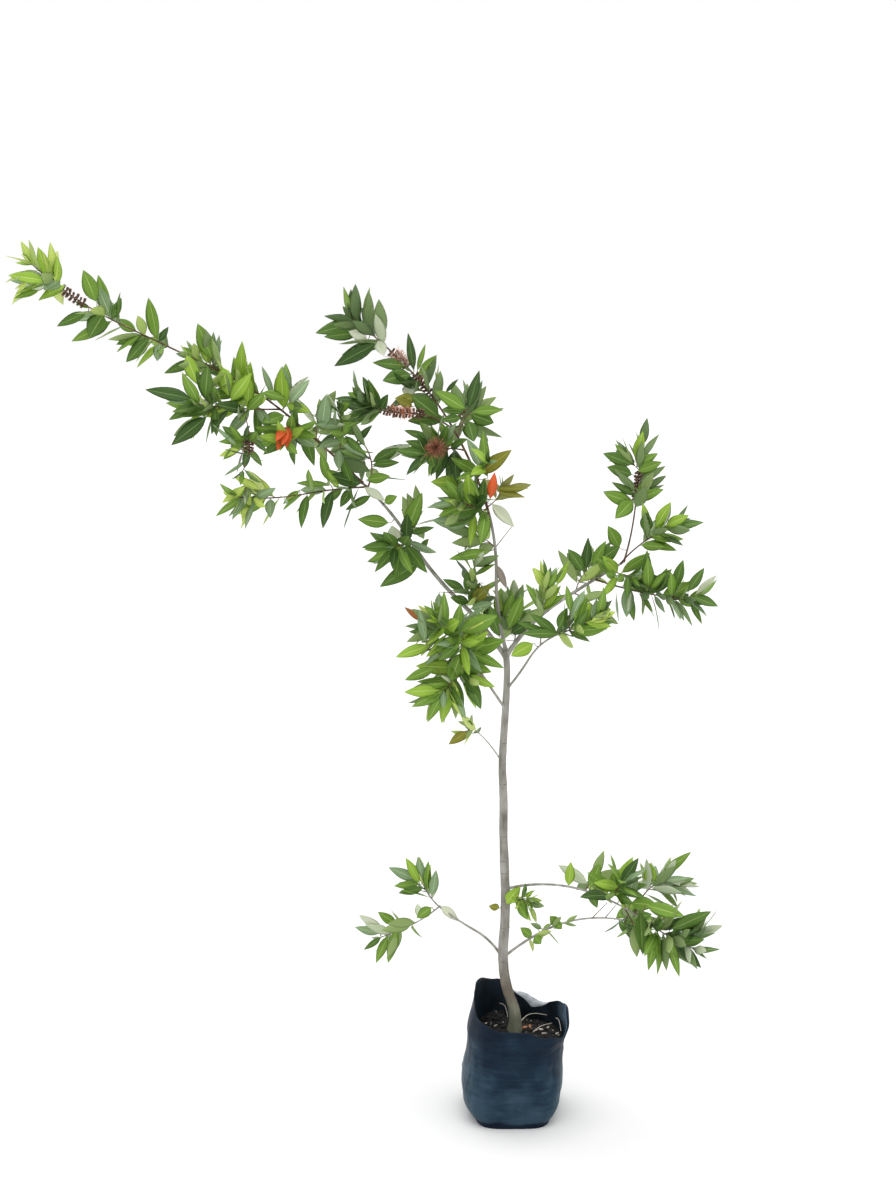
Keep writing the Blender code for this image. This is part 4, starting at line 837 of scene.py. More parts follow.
def pixel_of(point):
    """The pixel of the photograph that a point falls on."""
    x, y, z = np.asarray(point) - np.array(CAMERA_PLACE)
    down = math.radians(CAMERA_DOWN)
    away = y * math.cos(down) - z * math.sin(down)
    up = y * math.sin(down) + z * math.cos(down)
    return PHOTO_SIZE[0] / 2 + FOCAL_PIXELS * x / away, PHOTO_SIZE[1] / 2 - FOCAL_PIXELS * up / away


def seen_in(leaf, circles):
    """Whether the outer half of a leaf reaches into one of some circles of the photograph."""
    for share in (0.5, 0.75, 1.0):
        x, y = pixel_of(leaf_point(leaf, share))
        if any((x - across) ** 2 + (y - down) ** 2 < radius ** 2 for across, down, radius in circles):
            return True
    return False


def hides_wood(leaf):
    """Whether a leaf stands before the wood that the photograph shows bare."""
    return leaf_point(leaf, HIDING_SHARE)[1] < leaf.root[1] - HIDING_DEPTH and seen_in(leaf, BARE)


def fine_growth(name, axes, count):
    """What a mass tries besides: small leaves on its stem, fine twigs with leaves, and tip leaves."""
    mass = MASSES[name]
    axis = axes[mass.branch]
    draw = random.Random(mass.seed * 100 + FINE_SEED)
    stretch = mass.end - mass.start
    first = mass.start + stretch * mass.first
    size = mass.size * FINE_SIZE
    share = SPARSE_SHARE if name in SPARSE_MASSES else 1
    leaves = leaves_on(
        axis, first, mass.end, round(count * FINE_TRIES * share), size, mass.spread, mass.lift, draw)
    fine = mass._replace(twigs=math.ceil(FINE_TWIGS * share), twig_length=FINE_TWIG_LENGTH)
    twigs = [
        (twig, leaves_on(twig, FINE_LEAVES_FROM, 1.0, FINE_TWIG_LEAVES, size, TWIG_SPREAD, mass.lift, draw))
        for twig in twigs_on(axis, fine, draw)]
    tips = leaves_on(
        axis, mass.end - TIP_STRETCH * stretch, mass.end, math.ceil(TIP_LEAVES * share), TIP_LEAF_SIZE,
        TIP_SPREAD, 0.0, draw)
    return leaves, twigs, tips


def grow_all(axes):
    """All leaves of each mass, and all twigs."""
    limbs = node_tree(*[name for name in frame["nodes"] if name not in MASSES])
    leaves = {}
    twigs = {}
    for name in MASSES:
        grown, twigs[name] = source_growth(name, axes)
        leaves[name] = [leaf for leaf in grown if not hides_wood(leaf)]
    taken = guard_tree([leaf for name in MASSES for leaf in leaves[name]])
    for name in MASSES:
        stem_leaves, fine_twigs, tips = fine_growth(name, axes, len(leaves[name]))
        low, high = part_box(name)
        added = []

        def fits(leaf):
            tip = leaf_point(leaf, 1.0)
            outside = any(tip[k] < low[k] - BOX_ROOM or tip[k] > high[k] + BOX_ROOM for k in range(3))
            if outside or seen_in(leaf, SKY + BARE):
                return False
            tree = guard_tree([leaf])
            if tree.overlap(taken) or tree.overlap(limbs):
                return False
            return not (added and tree.overlap(guard_tree(added)))

        for leaf in stem_leaves:
            if fits(leaf):
                added.append(leaf)
        for twig, twig_leaves in fine_twigs:
            good = [leaf for leaf in twig_leaves if fits(leaf)]
            if len(good) > 1:
                twigs[name].append(twig)
                added += good
        leaves[name] = leaves[name] + added + tips
    return leaves, twigs


def link(name, data):
    """An object made of some data, in the scene."""
    body = bpy.data.objects.new(name, data)
    bpy.context.scene.collection.objects.link(body)
    return body


class Heap:
    """Points, faces and the material number of each face, gathered for one joined piece."""

    def __init__(self):
        self.points = []
        self.faces = []
        self.slots = []
        self.count = 0

    def add(self, points, faces, slots=0):
        points = np.asarray(points, float).reshape(-1, 3)
        self.points.append(points)
        self.faces += [tuple(index + self.count for index in face) for face in faces]
        self.slots += [slots] * len(faces) if isinstance(slots, int) else list(slots)
        self.count += len(points)

    def piece(self, name, materials, smooth=True):
        mesh = bpy.data.meshes.new(name)
        mesh.from_pydata(np.concatenate(self.points).tolist(), [], self.faces)
        for material in materials:
            mesh.materials.append(material)
        mesh.polygons.foreach_set("material_index", self.slots)
        mesh.polygons.foreach_set("use_smooth", [smooth] * len(self.faces))
        mesh.update()
        body = link(name, mesh)
        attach(body, "root")
        return body


def blade_outline(share):
    """Half the width of a leaf at a share of its length, as a part of its greatest."""
    if share <= STALK_SHARE:
        return 0.0
    along = (share - STALK_SHARE) / (1 - STALK_SHARE)
    return math.sin(math.pi * along ** 0.80) ** 0.88


def blade(heap, leaf, draw):
    """One thin closed leaf, folded a little along its rib, with curled edges and some twist."""
    fold = math.radians(draw.uniform(*FOLD_ANGLES))
    twist = math.radians(draw.uniform(-LEAF_TWIST, LEAF_TWIST))
    curl = draw.uniform(-EDGE_CURL, EDGE_CURL)
    wave = draw.uniform(0, 6.28)
    side = np.cross(leaf.normal, leaf.way)
    points = []
    for share in BLADE_STATIONS:
        turn = twist * share
        across = side * math.cos(turn) + leaf.normal * math.sin(turn)
        over = leaf.normal * math.cos(turn) - side * math.sin(turn)
        half = max(leaf.width / 2 * BLADE_WIDER * blade_outline(share), STALK_HALF * (1 - 0.75 * share))
        centre = leaf_point(leaf, share)
        ripple = RIPPLE * half * math.sin(RIPPLE_TURNS * share + wave)
        thick = BLADE_THICKNESS * (1.6 - share) if share < 1 else TIP_THICKNESS
        drops = [0.0 if abs(part) > RIB_HALF else -RIB_RISE for part in BLADE_ACROSS]
        drops += [thick if part == 0 else thick * 0.5 for part in BELOW_ACROSS]
        for part, drop in zip(BLADE_ACROSS + BELOW_ACROSS, drops):
            rise = abs(part) * half * math.tan(fold) + curl * part * part * half + ripple * part
            points.append(centre + across * (part * half * math.cos(fold)) + over * (rise - drop))
    wide = len(BLADE_ACROSS)
    row = wide + len(BELOW_ACROSS)
    last = (len(BLADE_STATIONS) - 1) * row
    under = [0, wide, wide + 1, wide + 2, wide - 1]
    faces = []
    slots = []
    for a in range(0, last, row):
        b = a + row
        for k in range(wide - 1):
            faces.append((a + k, a + k + 1, b + k + 1, b + k))
            slots.append(2 if k == 2 else 0)
        for k in range(4):
            faces.append((a + under[k + 1], a + under[k], b + under[k], b + under[k + 1]))
            slots.append(1)
    for a, flip in ((0, 1), (last, -1)):
        ring = [a + k for k in range(wide)] + [a + wide + 2, a + wide + 1, a + wide]
        faces.append(tuple(ring[::-flip]))
        slots.append(1)
    heap.add(points, faces, slots)


def ray_of(pixel):
    """The direction from the camera through a pixel of the photograph."""
    across = (pixel[0] - PHOTO_SIZE[0] / 2) / FOCAL_PIXELS
    up = (PHOTO_SIZE[1] / 2 - pixel[1]) / FOCAL_PIXELS
    down = math.radians(CAMERA_DOWN)
    ahead = np.array([0, math.cos(down), -math.sin(down)])
    above = np.array([0, math.sin(down), math.cos(down)])
    return ahead + above * up + np.array([across, 0, 0])


def seen_at(pixel, y):
    """The point that a pixel shows in the upright plane at depth y."""
    ray = ray_of(pixel)
    return np.array(CAMERA_PLACE) + ray * (y - CAMERA_PLACE[1]) / ray[1]


def seen_on(pixel, z):
    """The point that a pixel shows in the level plane at height z."""
    ray = ray_of(pixel)
    return np.array(CAMERA_PLACE) + ray * (z - CAMERA_PLACE[2]) / ray[2]


def foot_on(branch, pixel, axes):
    """The point of a branch that lies nearest to what a pixel shows."""
    ray = unit(ray_of(pixel))
    place = np.array(CAMERA_PLACE)
    return min(axes[branch], key=lambda point: np.linalg.norm(np.cross(point - place, ray)))


def single_leaf(branch, row, axes, draw):
    """A leaf from its pixels, and the twig that carries it where its foot is off its branch."""
    joint = foot_on(branch, row[0:2], axes)
    nearer = row[4] / 100
    foot = seen_at(row[0:2], joint[1] - max(nearer * 0.33, nearer - SINGLE_DEPTH))
    twig = None
    if np.linalg.norm(foot - joint) > SINGLE_TWIG_FROM:
        twig = np.array([joint, joint * 0.5 + foot * 0.5 - np.array([0, 0, 2 * MM]), foot])
    else:
        foot = joint
    tip = seen_at(row[2:4], joint[1] - nearer)
    way = tip - foot
    length = np.linalg.norm(way)
    way = way / length
    normal = np.array([draw.uniform(-0.3, 0.3), -1.0, draw.uniform(0.1, 0.5)])
    normal = unit(normal - way * way.dot(normal))
    width = row[5] * (foot[1] - CAMERA_PLACE[1]) / FOCAL_PIXELS
    return Leaf(foot, way, normal, length, width * SINGLE_WIDER, draw.uniform(-0.1, 0.02)), twig


def all_singles(axes):
    """Every single leaf with its colour, and the twigs that carry some of them."""
    draw = random.Random(SINGLE_SEED)
    leaves = []
    twigs = []
    for branch, rows in SINGLES.items():
        for row in rows:
            leaf, twig = single_leaf(branch, row, axes, draw)
            leaves.append((leaf, row[6]))
            if twig is not None:
                twigs.append(twig)
    return leaves, twigs


def pick(palette, draw):
    """One of some (colour, weight) pairs, by its weight."""
    place = draw.uniform(0, sum(weight for _, weight in palette))
    for colour, weight in palette:
        place -= weight
        if place <= 0:
            return colour
    return palette[-1][0]


def ring_grid_faces(rings, columns):
    """The faces between closed rings of points."""
    faces = []
    for ring in range(rings - 1):
        for k in range(columns):
            a = ring * columns + k
            b = ring * columns + (k + 1) % columns
            faces.append((a, b, b + columns, a + columns))
    return faces


def tube_grid(points, radii, sides):
    """Rings of points round a limb, and the faces of its closed skin."""
    points = np.array(points)
    ways = np.gradient(points, axis=0)
    side = side_frame(unit(ways[0]))[0]
    rings = []
    for point, way, radius in zip(points, ways, radii):
        way = unit(way)
        side = unit(side - way * side.dot(way))
        over = np.cross(way, side)
        for corner in range(sides):
            turn = 2 * math.pi * corner / sides
            reach = radius[corner] if np.ndim(radius) else radius
            rings.append(point + (side * math.cos(turn) + over * math.sin(turn)) * reach)
    last = (len(points) - 1) * sides
    ends = tuple(range(sides))[::-1], tuple(range(last, last + sides))
    return rings, [ends[0]] + ring_grid_faces(len(points), sides) + [ends[1]]


def bell(gap):
    """A smooth bump: 1 in its middle, and next to nothing from 3 on."""
    return math.exp(-gap * gap)


def trunk_scars():
    """How far up the trunk its leaf scars are."""
    return [seen_at((TRUNK_COLUMN, row), 0)[2] - TRUNK_FOOT[2] for row in TRUNK_RINGS]


def bark_radii(name, shares, sides, draw):
    """The radius at each point round a limb: taper, collar, leaf scars and the bark's relief."""
    branch = BRANCHES[name]
    scars = []
    place = draw.uniform(*SCAR_SPACING)
    while place < branch.length:
        scars.append((place, draw.uniform(0.4, 1.0), draw.uniform(0, 6.28)))
        place += draw.uniform(*SCAR_SPACING)
    if name == "trunk":
        scars = [(place, draw.uniform(0.7, 1.2), draw.uniform(0, 6.28)) for place in trunk_scars()]
    radii = []
    for share in shares:
        along = share * branch.length
        left = branch.length - along
        radius = (branch.base + (branch.tip - branch.base) * share) / 2 * MM
        if name == "trunk":
            radius += TRUNK_FLARE * math.exp(-along / TRUNK_FLARE_HEIGHT)
            radius -= TRUNK_TOP[0] * max(0, 1 - left / TRUNK_TOP[1])
        else:
            radius *= 1 + COLLAR * math.exp(-along / COLLAR_LENGTH)
            radius *= 1 - LIMB_TIP[0] * max(0, 1 - left / LIMB_TIP[1])
        ring = []
        for corner in range(sides):
            turn = 2 * math.pi * corner / sides
            x = math.cos(turn)
            y = math.sin(turn)
            swell = 1
            for depth, across, up in BARK_RELIEF:
                swell += depth * noise.noise(Vector((x * across, y * across, along * up + len(name))))
            reach = radius * swell
            for middle, height, towards in scars:
                gap = (along - middle) / SCAR_WIDTH
                if abs(gap) < 3:
                    facing = 0.6 + 0.4 * math.cos(turn - towards)
                    reach += SCAR_HEIGHT * min(1, radius / 0.006) * height * bell(gap) * facing
            ring.append(reach)
        radii.append(ring)
    return radii


def limb(heap, name, axes, start, end, draw):
    """The bark of one stretch of branch."""
    branch = BRANCHES[name]
    thick = branch.base > THICK_LIMB
    sides = TRUNK_SIDES if name == "trunk" else BOUGH_SIDES if thick else TWIG_SIDES
    step = BARK_STEP if thick else BARK_STEP * 1.5
    count = max(4, round((end - start) * branch.length / step))
    shares = [start + (end - start) * n / count for n in range(count + 1)]
    points = [point_on(axes[name], share) for share in shares]
    if name == "trunk":
        points[0] = points[0] - np.array([0, 0, TRUNK_SUNK])
    grid, faces = tube_grid(points, bark_radii(name, shares, sides, draw), sides)
    slots = [0] * len(faces)
    # The faces just under each leaf scar take the second material: a painted shade line
    if name == "trunk":
        for ring in range(count):
            along = (shares[ring] + shares[ring + 1]) / 2 * branch.length
            if min(abs(along + SCAR_WIDTH - scar) for scar in trunk_scars()) < BARK_STEP / 2:
                slots[1 + ring * sides:1 + (ring + 1) * sides] = [1] * sides
    heap.add(grid, faces, slots)


def turned(heap, base, way, profile, size, sides, slots):
    """A small turned shape standing on a point, from a profile of (height, radius)."""
    side, over = side_frame(way)
    points = []
    for height, radius in profile:
        for corner in range(sides):
            turn = 2 * math.pi * corner / sides
            out = side * math.cos(turn) + over * math.sin(turn)
            points.append(base + way * height * size + out * radius * size)
    faces = ring_grid_faces(len(profile), sides)
    colours = [slots[face // sides] for face in range(len(faces))]
    last = (len(profile) - 1) * sides
    faces += [tuple(range(sides))[::-1], tuple(range(last, last + sides))]
    heap.add(points, faces, colours + [slots[0], slots[-1]])


def flower_stalk(axes):
    """Where the faded flower's short stalk starts on its branch, and where it ends."""
    branch, pixel, nearer = FLOWER[:3]
    foot = foot_on(branch, pixel, axes)
    return foot, seen_at(pixel, foot[1] - nearer)


def make_wood(axes, twigs, single_twigs):
    """The trunk, the grey boughs, the brown boughs and stems, and the fine twigs."""
    draw = random.Random(BARK_SEED)
    trunk, grey, brown, fine = (Heap() for _ in range(4))
    limb(trunk, "trunk", axes, 0.0, 1.0, draw)
    for name in BRANCHES:
        if name == "trunk":
            continue
        start, end = GREY_BARK.get(name, (0.0, 0.0))
        if end > 0:
            limb(grey, name, axes, start, end, draw)
        if end < 1:
            limb(brown, name, axes, end, 1.0, draw)
    thin = [(twig, 1.0, 0.55) for name in MASSES for twig in twigs[name]]
    thin += [(twig, 0.9, 0.6) for twig in single_twigs]
    for branch, start, end in BARE_TWIGS:
        foot = foot_on(branch, start, axes)
        thin.append((np.linspace(foot, seen_at(end, foot[1]), 4), 1.0, 0.7))
    for twig, foot_radius, tip_radius in thin:
        fine.add(*tube_grid(twig, np.linspace(foot_radius, tip_radius, len(twig)) * MM, 6))
    foot, middle = flower_stalk(axes)
    fine.add(*tube_grid([foot, foot * 0.5 + middle * 0.5, middle], FLOWER_STALK, 8))
    trunk_piece = trunk.piece("trunk_bark", [bark_material("trunk_bark", True), scar_shade_material()])
    grey_piece = grey.piece("boughs_grey_bark", [bark_material("bough_bark", False)])
    brown_piece = brown.piece("boughs_brown_bark", [brown_bark_material("brown_bark")])
    fine_piece = fine.piece("fine_twigs", [brown_bark_material("twig_bark")])
    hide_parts("trunk")
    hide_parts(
        "leader", "left_bough", "right_bough", "thin_right_bough", "side_left_bough",
        "low_left_bough", "low_right_bough", "low_right_bough_end", "right_low_bough")
    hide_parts("long_left_bough", "upper_right_bough")


def make_leaves(leaves, singles):
    """One joined piece of leaves for each colour. Each mass is stood for by its main colour's piece."""
    heaps = {colour: Heap() for colour in LEAF_LOOKS}
    draw = random.Random(SINGLE_BLADE_SEED)
    for leaf, colour in singles:
        blade(heaps[colour], leaf, draw)
    for name, mass in MASSES.items():
        draw = random.Random(mass.seed + BLADE_SEED)
        for leaf in leaves[name]:
            blade(heaps[pick(PALETTES[mass.colours], draw)], leaf, draw)
    for colour, heap in heaps.items():
        piece = heap.piece("leaves_" + colour, [
            leaf_material(colour + side, tone, roughness)
            for side, tone, roughness in zip(LEAF_SIDES, LEAF_LOOKS[colour], LEAF_ROUGHNESS)])
        stood_for = [name for name, mass in MASSES.items() if MAIN_COLOUR[mass.colours] == colour]
        if stood_for:
            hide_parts(*stood_for)


def make_capsules(axes):
    """Sleeves of woody seed capsules round the old wood, each an urn with a dark mouth."""
    heap = Heap()
    draw = random.Random(CAPSULE_SEED)
    for mass in MASSES.values():
        if not mass.capsules:
            continue
        axis = axes[mass.branch]
        first, last = (mass.start + (mass.end - mass.start) * share for share in mass.capsules)
        rings = round((last - first) * BRANCHES[mass.branch].length / CAPSULE_STEP)
        for ring in range(rings):
            place = first + (last - first) * (ring + 0.5) / rings
            stem = way_on(axis, place)
            for number in range(CAPSULES_ROUND):
                turn = 360 / CAPSULES_ROUND * number + draw.uniform(-10, 10)
                out = unit(beside(stem, turn) + stem * draw.uniform(0.1, 0.5))
                size = CAPSULE_SIZE * draw.uniform(0.8, 1.12)
                turned(heap, point_on(axis, place) + out * 0.8 * MM, out, CAPSULE_PROFILE, size,
                       CAPSULE_SIDES, (0, 0, 0, 1, 1, 2))
    piece = heap.piece("seed_capsules", [
        capsule_material("capsule_wall", (86, 60, 45)), capsule_material("capsule_rim", (140, 108, 82)),
        capsule_material("capsule_mouth", (38, 24, 20))])


def filament(heap, root, way, length, draw):
    """One thin curved filament with a small head."""
    bow = np.array([draw.uniform(-1, 1), draw.uniform(-1, 1), draw.uniform(-1.2, 0.4)]) * 0.35
    points = [root + way * length * t + bow * length * t * t for t in (0, 0.4, 0.75, 1.0)]
    heap.add(*tube_grid(points, [FILAMENT_RADIUS * wide for wide in (1, 0.9, 0.7, 0.6)], 3))
    head_way = unit(points[-1] - points[-2])
    turned(heap, points[-1], head_way, ((0, 0.4), (0.5, 1.0), (1.2, 0.3)), FILAMENT_HEAD, 4, (0, 0))


def make_filaments(axes):
    """The brushes of filaments, one joined piece for each colour."""
    heaps = {colour: Heap() for colour in FILAMENT_COLOURS}
    draw = random.Random(FILAMENT_SEED)
    for row in FILAMENTS:
        mass = MASSES[row.mass]
        axis = axes[mass.branch]
        for _ in range(row.count):
            place = mass.start + (mass.end - mass.start) * draw.uniform(row.start, row.end)
            stem = way_on(axis, place)
            out = unit(beside(stem, draw.uniform(0, 360)) + stem * draw.uniform(-0.1, 0.5) + [0, 0, 0.7])
            heap = heaps[pick(row.colours, draw)]
            filament(heap, point_on(axis, place) + out * MM, out, row.length * draw.uniform(0.6, 1.1), draw)
    foot, middle = flower_stalk(axes)
    stem = unit(middle - foot)
    _, _, _, count, length, colours = FLOWER
    for _ in range(count):
        out = unit(beside(stem, draw.uniform(0, 360)) + stem * draw.uniform(-0.2, 1.4))
        heap = heaps[pick(colours, draw)]
        root = middle - stem * draw.uniform(0, 8) * MM
        filament(heap, root, out, length * draw.uniform(0.5, 1.05), draw)
    for colour, heap in heaps.items():
        piece = heap.piece("filaments_" + colour, [capsule_material(
            "filament_" + colour, FILAMENT_COLOURS[colour])])


def new_material(name, colour, roughness, specular=0.5):
    """A material with its shader, and the few values that all of them need."""
    material = bpy.data.materials.new(name)
    material.use_nodes = True
    tree = material.node_tree
    shader = tree.nodes["Principled BSDF"]
    shader.inputs["Base Color"].default_value = (*rgb(colour), 1)
    shader.inputs["Roughness"].default_value = roughness
    shader.inputs["Specular IOR Level"].default_value = specular
    return material, tree, shader


def plug(tree, value, socket):
    """Sets a socket to a number or a colour, or links it to another node's output."""
    if isinstance(value, (int, float)):
        socket.default_value = value
    elif isinstance(value, tuple):
        socket.default_value = (*rgb(value), 1)
    else:
        tree.links.new(value, socket)


def noise_node(tree, scale, detail=4, stretch=(1, 1, 1)):
    """A noise over the object, stretched by its three factors."""
    place = tree.nodes.new("ShaderNodeTexCoord")
    mapping = tree.nodes.new("ShaderNodeMapping")
    mapping.inputs["Scale"].default_value = stretch
    texture = tree.nodes.new("ShaderNodeTexNoise")
    texture.inputs["Scale"].default_value = scale
    texture.inputs["Detail"].default_value = detail
    tree.links.new(place.outputs["Object"], mapping.inputs["Vector"])
    tree.links.new(mapping.outputs["Vector"], texture.inputs["Vector"])
    return texture.outputs["Fac"]


def ramp_node(tree, source, stops):
    """A colour ramp with stops of (place, colour)."""
    ramp = tree.nodes.new("ShaderNodeValToRGB")
    elements = ramp.color_ramp.elements
    while len(elements) < len(stops):
        elements.new(0.5)
    for element, (place, colour) in zip(elements, stops):
        element.position = place
        element.color = (*rgb(colour), 1)
    tree.links.new(source, ramp.inputs["Fac"])
    return ramp.outputs["Color"]


def bump_node(tree, shader, source, strength, distance):
    bump = tree.nodes.new("ShaderNodeBump")
    bump.inputs["Strength"].default_value = strength
    bump.inputs["Distance"].default_value = distance
    tree.links.new(source, bump.inputs["Height"])
    tree.links.new(bump.outputs["Normal"], shader.inputs["Normal"])


def range_node(tree, source, low, high, to=1.0, ease="SMOOTHSTEP"):
    """A value brought from 0 at low to a greatest value at high."""
    reach = tree.nodes.new("ShaderNodeMapRange")
    reach.interpolation_type = ease
    reach.inputs["From Min"].default_value = low
    reach.inputs["From Max"].default_value = high
    reach.inputs["To Max"].default_value = to
    tree.links.new(source, reach.inputs["Value"])
    return reach.outputs["Result"]


def math_node(tree, operation, first, second):
    """One sum of two values, each a node's output or a number."""
    node = tree.nodes.new("ShaderNodeMath")
    node.operation = operation
    plug(tree, first, node.inputs[0])
    plug(tree, second, node.inputs[1])
    return node.outputs["Value"]


def times(tree, first, second):
    return math_node(tree, "MULTIPLY", first, second)


def plus_swing(tree, value, grain, reach):
    """A value with a noise's swing round its middle added, times a reach."""
    return math_node(tree, "ADD", value, times(tree, math_node(tree, "SUBTRACT", grain, 0.5), reach))


def mix_node(tree, factor, first, second, blend="MIX"):
    """Two colours mixed, each a node's output or a colour."""
    mix = tree.nodes.new("ShaderNodeMix")
    mix.data_type = "RGBA"
    mix.blend_type = blend
    plug(tree, factor, mix.inputs["Factor"])
    plug(tree, first, mix.inputs["A"])
    plug(tree, second, mix.inputs["B"])
    return mix.outputs["Result"]


def place_parts(tree):
    """The X, Y and Z of the point that is shaded."""
    place = tree.nodes.new("ShaderNodeTexCoord")
    parts = tree.nodes.new("ShaderNodeSeparateXYZ")
    tree.links.new(place.outputs["Object"], parts.inputs["Vector"])
    return parts.outputs["X"], parts.outputs["Y"], parts.outputs["Z"]


def grained(look, grain, relief, stops=None, fine=None):
    """A material whose grain gives its relief, or a finer one does, and its colour where it has stops."""
    material, tree, shader = new_material(*look)
    source = noise_node(tree, *grain)
    if stops:
        tree.links.new(ramp_node(tree, source, stops), shader.inputs["Base Color"])
    bump_node(tree, shader, noise_node(tree, *fine) if fine else source, relief[0], relief[1] * MM)
    return material


def leaf_material(name, colour, roughness):
    return grained(("leaf_" + name, colour, roughness, 0.22), (260, 3), (0.25, 0.6))


def capsule_material(name, colour):
    return grained((name, colour, 0.7), (900, 3), (0.4, 0.4))


def litter_material(name, colour):
    return grained((name, colour, 0.85), (500, 4), (0.6, 0.6))


def scar_shade_material():
    """The painted shade line under the ridge of a leaf scar."""
    stops = ((0.35, (104, 98, 88)), (0.62, (150, 147, 140)))
    return grained(("bark_scar_shade", (112, 106, 96), 0.9), (260, 4), (0.6, 0.8), stops)


def brown_bark_material(name):
    stops = ((0.32, (70, 46, 34)), (0.50, (104, 76, 56)), (0.70, (146, 122, 98)))
    return grained((name, (104, 76, 56), 0.75), (120, 4), (0.5, 0.5), stops, (600, 3))


def strip_material():
    # Pale grey of the folded strip: a painted sheen where the black film faces the sky
    stops = ((0.35, (192, 198, 208)), (0.65, (228, 233, 241)))
    return grained(("painted_sheen_strip", (208, 214, 224), 0.45), (90, 5), (0.3, 0.8), stops)


def soil_material():
    stops = ((0.30, (4, 4, 4)), (0.55, (9, 8, 8)), (0.68, (20, 18, 17)), (0.80, (84, 78, 74)))
    return grained(("dark_soil", (30, 26, 24), 0.95), (320, 6), (0.8, 1.5), stops)


def bark_material(name, foot):
    """Grey bark. The trunk's is greener and darker over its lowest stretch."""
    material, tree, shader = new_material(name, (150, 146, 138), 0.85, 0.2)
    colour = ramp_node(tree, noise_node(tree, 70, 6, (1, 1, 0.35)), BARK_TONES)
    if foot:
        reach = range_node(tree, place_parts(tree)[2], *FOOT_HEIGHTS, ease="LINEAR")
        colour = mix_node(tree, FOOT_SHARE, colour, ramp_node(tree, reach, FOOT_TONES), "MULTIPLY")
    tree.links.new(colour, shader.inputs["Base Color"])
    bump_node(tree, shader, noise_node(tree, 420, 4, (1, 1, 0.25)), 0.9, 1.2 * MM)
    return material


def film_material():
    """Blue-black film with dust on its lower part, dust and a painted sheen at its sides, and a dark band of
    painted shade at its foot.
    """
    material, tree, shader = new_material("black_film", (28, 40, 52), 0.45, 0.07)
    x, _, z = place_parts(tree)
    blotch = noise_node(tree, 20, 6, (1, 1, 1.3))
    bands = noise_node(tree, 30, 5, (0.5, 0.5, 5.0))
    streaks = noise_node(tree, 60, 4, (1, 1, 0.18))
    tone = plus_swing(tree, plus_swing(tree, times(tree, z, 3.2), blotch, -1.3), bands, 0.5)
    colour = ramp_node(tree, tone, (
        (0.0, (50, 71, 86)), (0.22, (38, 57, 72)), (0.42, (26, 42, 57)), (0.62, (20, 34, 49)),
        (0.85, (14, 25, 38))))
    # Lighter towards the left and right sides: dust, and a painted sheen where the sides catch the light
    sides = math_node(
        tree, "ADD", range_node(tree, x, -0.066, -0.094), range_node(tree, x, 0.076, 0.098, 0.6))
    dust_and_sheen = times(tree, sides, range_node(tree, z, 0.165, 0.10))
    dust_and_sheen = times(tree, dust_and_sheen, range_node(tree, streaks, 0.30, 0.62, 0.55))
    colour = mix_node(tree, dust_and_sheen, colour, (96, 112, 120))
    # Darker over the lowest few mm: painted shade where the film meets the floor
    foot = range_node(tree, plus_swing(tree, z, blotch, 0.02), 0.013, 0.007, 0.85)
    tree.links.new(mix_node(tree, foot, colour, (10, 19, 36)), shader.inputs["Base Color"])
    relief = math_node(tree, "ADD", times(tree, bands, 0.8), streaks)
    bump_node(tree, shader, relief, 0.35, 1.4 * MM)
    return material


def film_inside_material():
    """The inside of the film: darker, with a sheen where the wall on the right catches the light."""
    material, tree, shader = new_material("film_inside", (22, 30, 36), 0.45, 0.16)
    x, _, z = place_parts(tree)
    grain = noise_node(tree, 34, 4, (1, 1, 0.5))
    colour = ramp_node(tree, grain, ((0.35, (18, 26, 32)), (0.65, (34, 46, 56))))
    sheen = times(tree, range_node(tree, x, 0.088, 0.104), range_node(tree, z, 0.150, 0.172))
    sheen = times(tree, sheen, range_node(tree, grain, 0.30, 0.55, 0.8))
    tree.links.new(mix_node(tree, sheen, colour, (112, 134, 156)), shader.inputs["Base Color"])
    bump_node(tree, shader, grain, 0.3, 1.0 * MM)
    return material


def rim_height(turn):
    """The rim's height in one direction, eased between the heights that are given."""
    count = len(RIM_HEIGHTS)
    place = (turn / (2 * math.pi) * count) % count
    low = int(place)
    ease = (1 - math.cos(math.pi * (place - low))) / 2
    first = RIM_HEIGHTS[low % count]
    return first + (RIM_HEIGHTS[(low + 1) % count] - first) * ease


def film_top(turn):
    """The height of the film's edge, with its small waves."""
    return rim_height(turn) + RIM_WAVES * noise.noise(Vector((math.cos(turn) * 5, math.sin(turn) * 5, 3)))


def film_point(turn, height, inset):
    """A point of the film, from its turn round the bag, its height and how far inside it lies."""
    heights = [ring[0] for ring in BAG_RINGS] + [max(rim_height(turn), 0.15)]
    size = []
    for k in (1, 2, 3):
        values = [ring[k] for ring in BAG_RINGS] + [BAG_RIM[k - 1]]
        size.append(sum(np.interp(height + step, heights, values) for step in (-4 * MM, 0, 4 * MM)) / 3)
    half_width, half_depth, lean = size
    blend = min(height / BAG_ROUND_HEIGHT, 1)
    power = BAG_FOOT_SQUARENESS + (BAG_RIM_SQUARENESS - BAG_FOOT_SQUARENESS) * blend
    across = abs(math.cos(turn)) / half_width
    along = abs(math.sin(turn)) / half_depth
    reach = (across ** power + along ** power) ** (-1 / power) - inset
    return np.array([lean + reach * math.cos(turn), reach * math.sin(turn), height])


def from_centre(gap):
    """A gap between two turns in degrees, brought to what lies between -180 and 180."""
    return (gap + 180) % 360 - 180


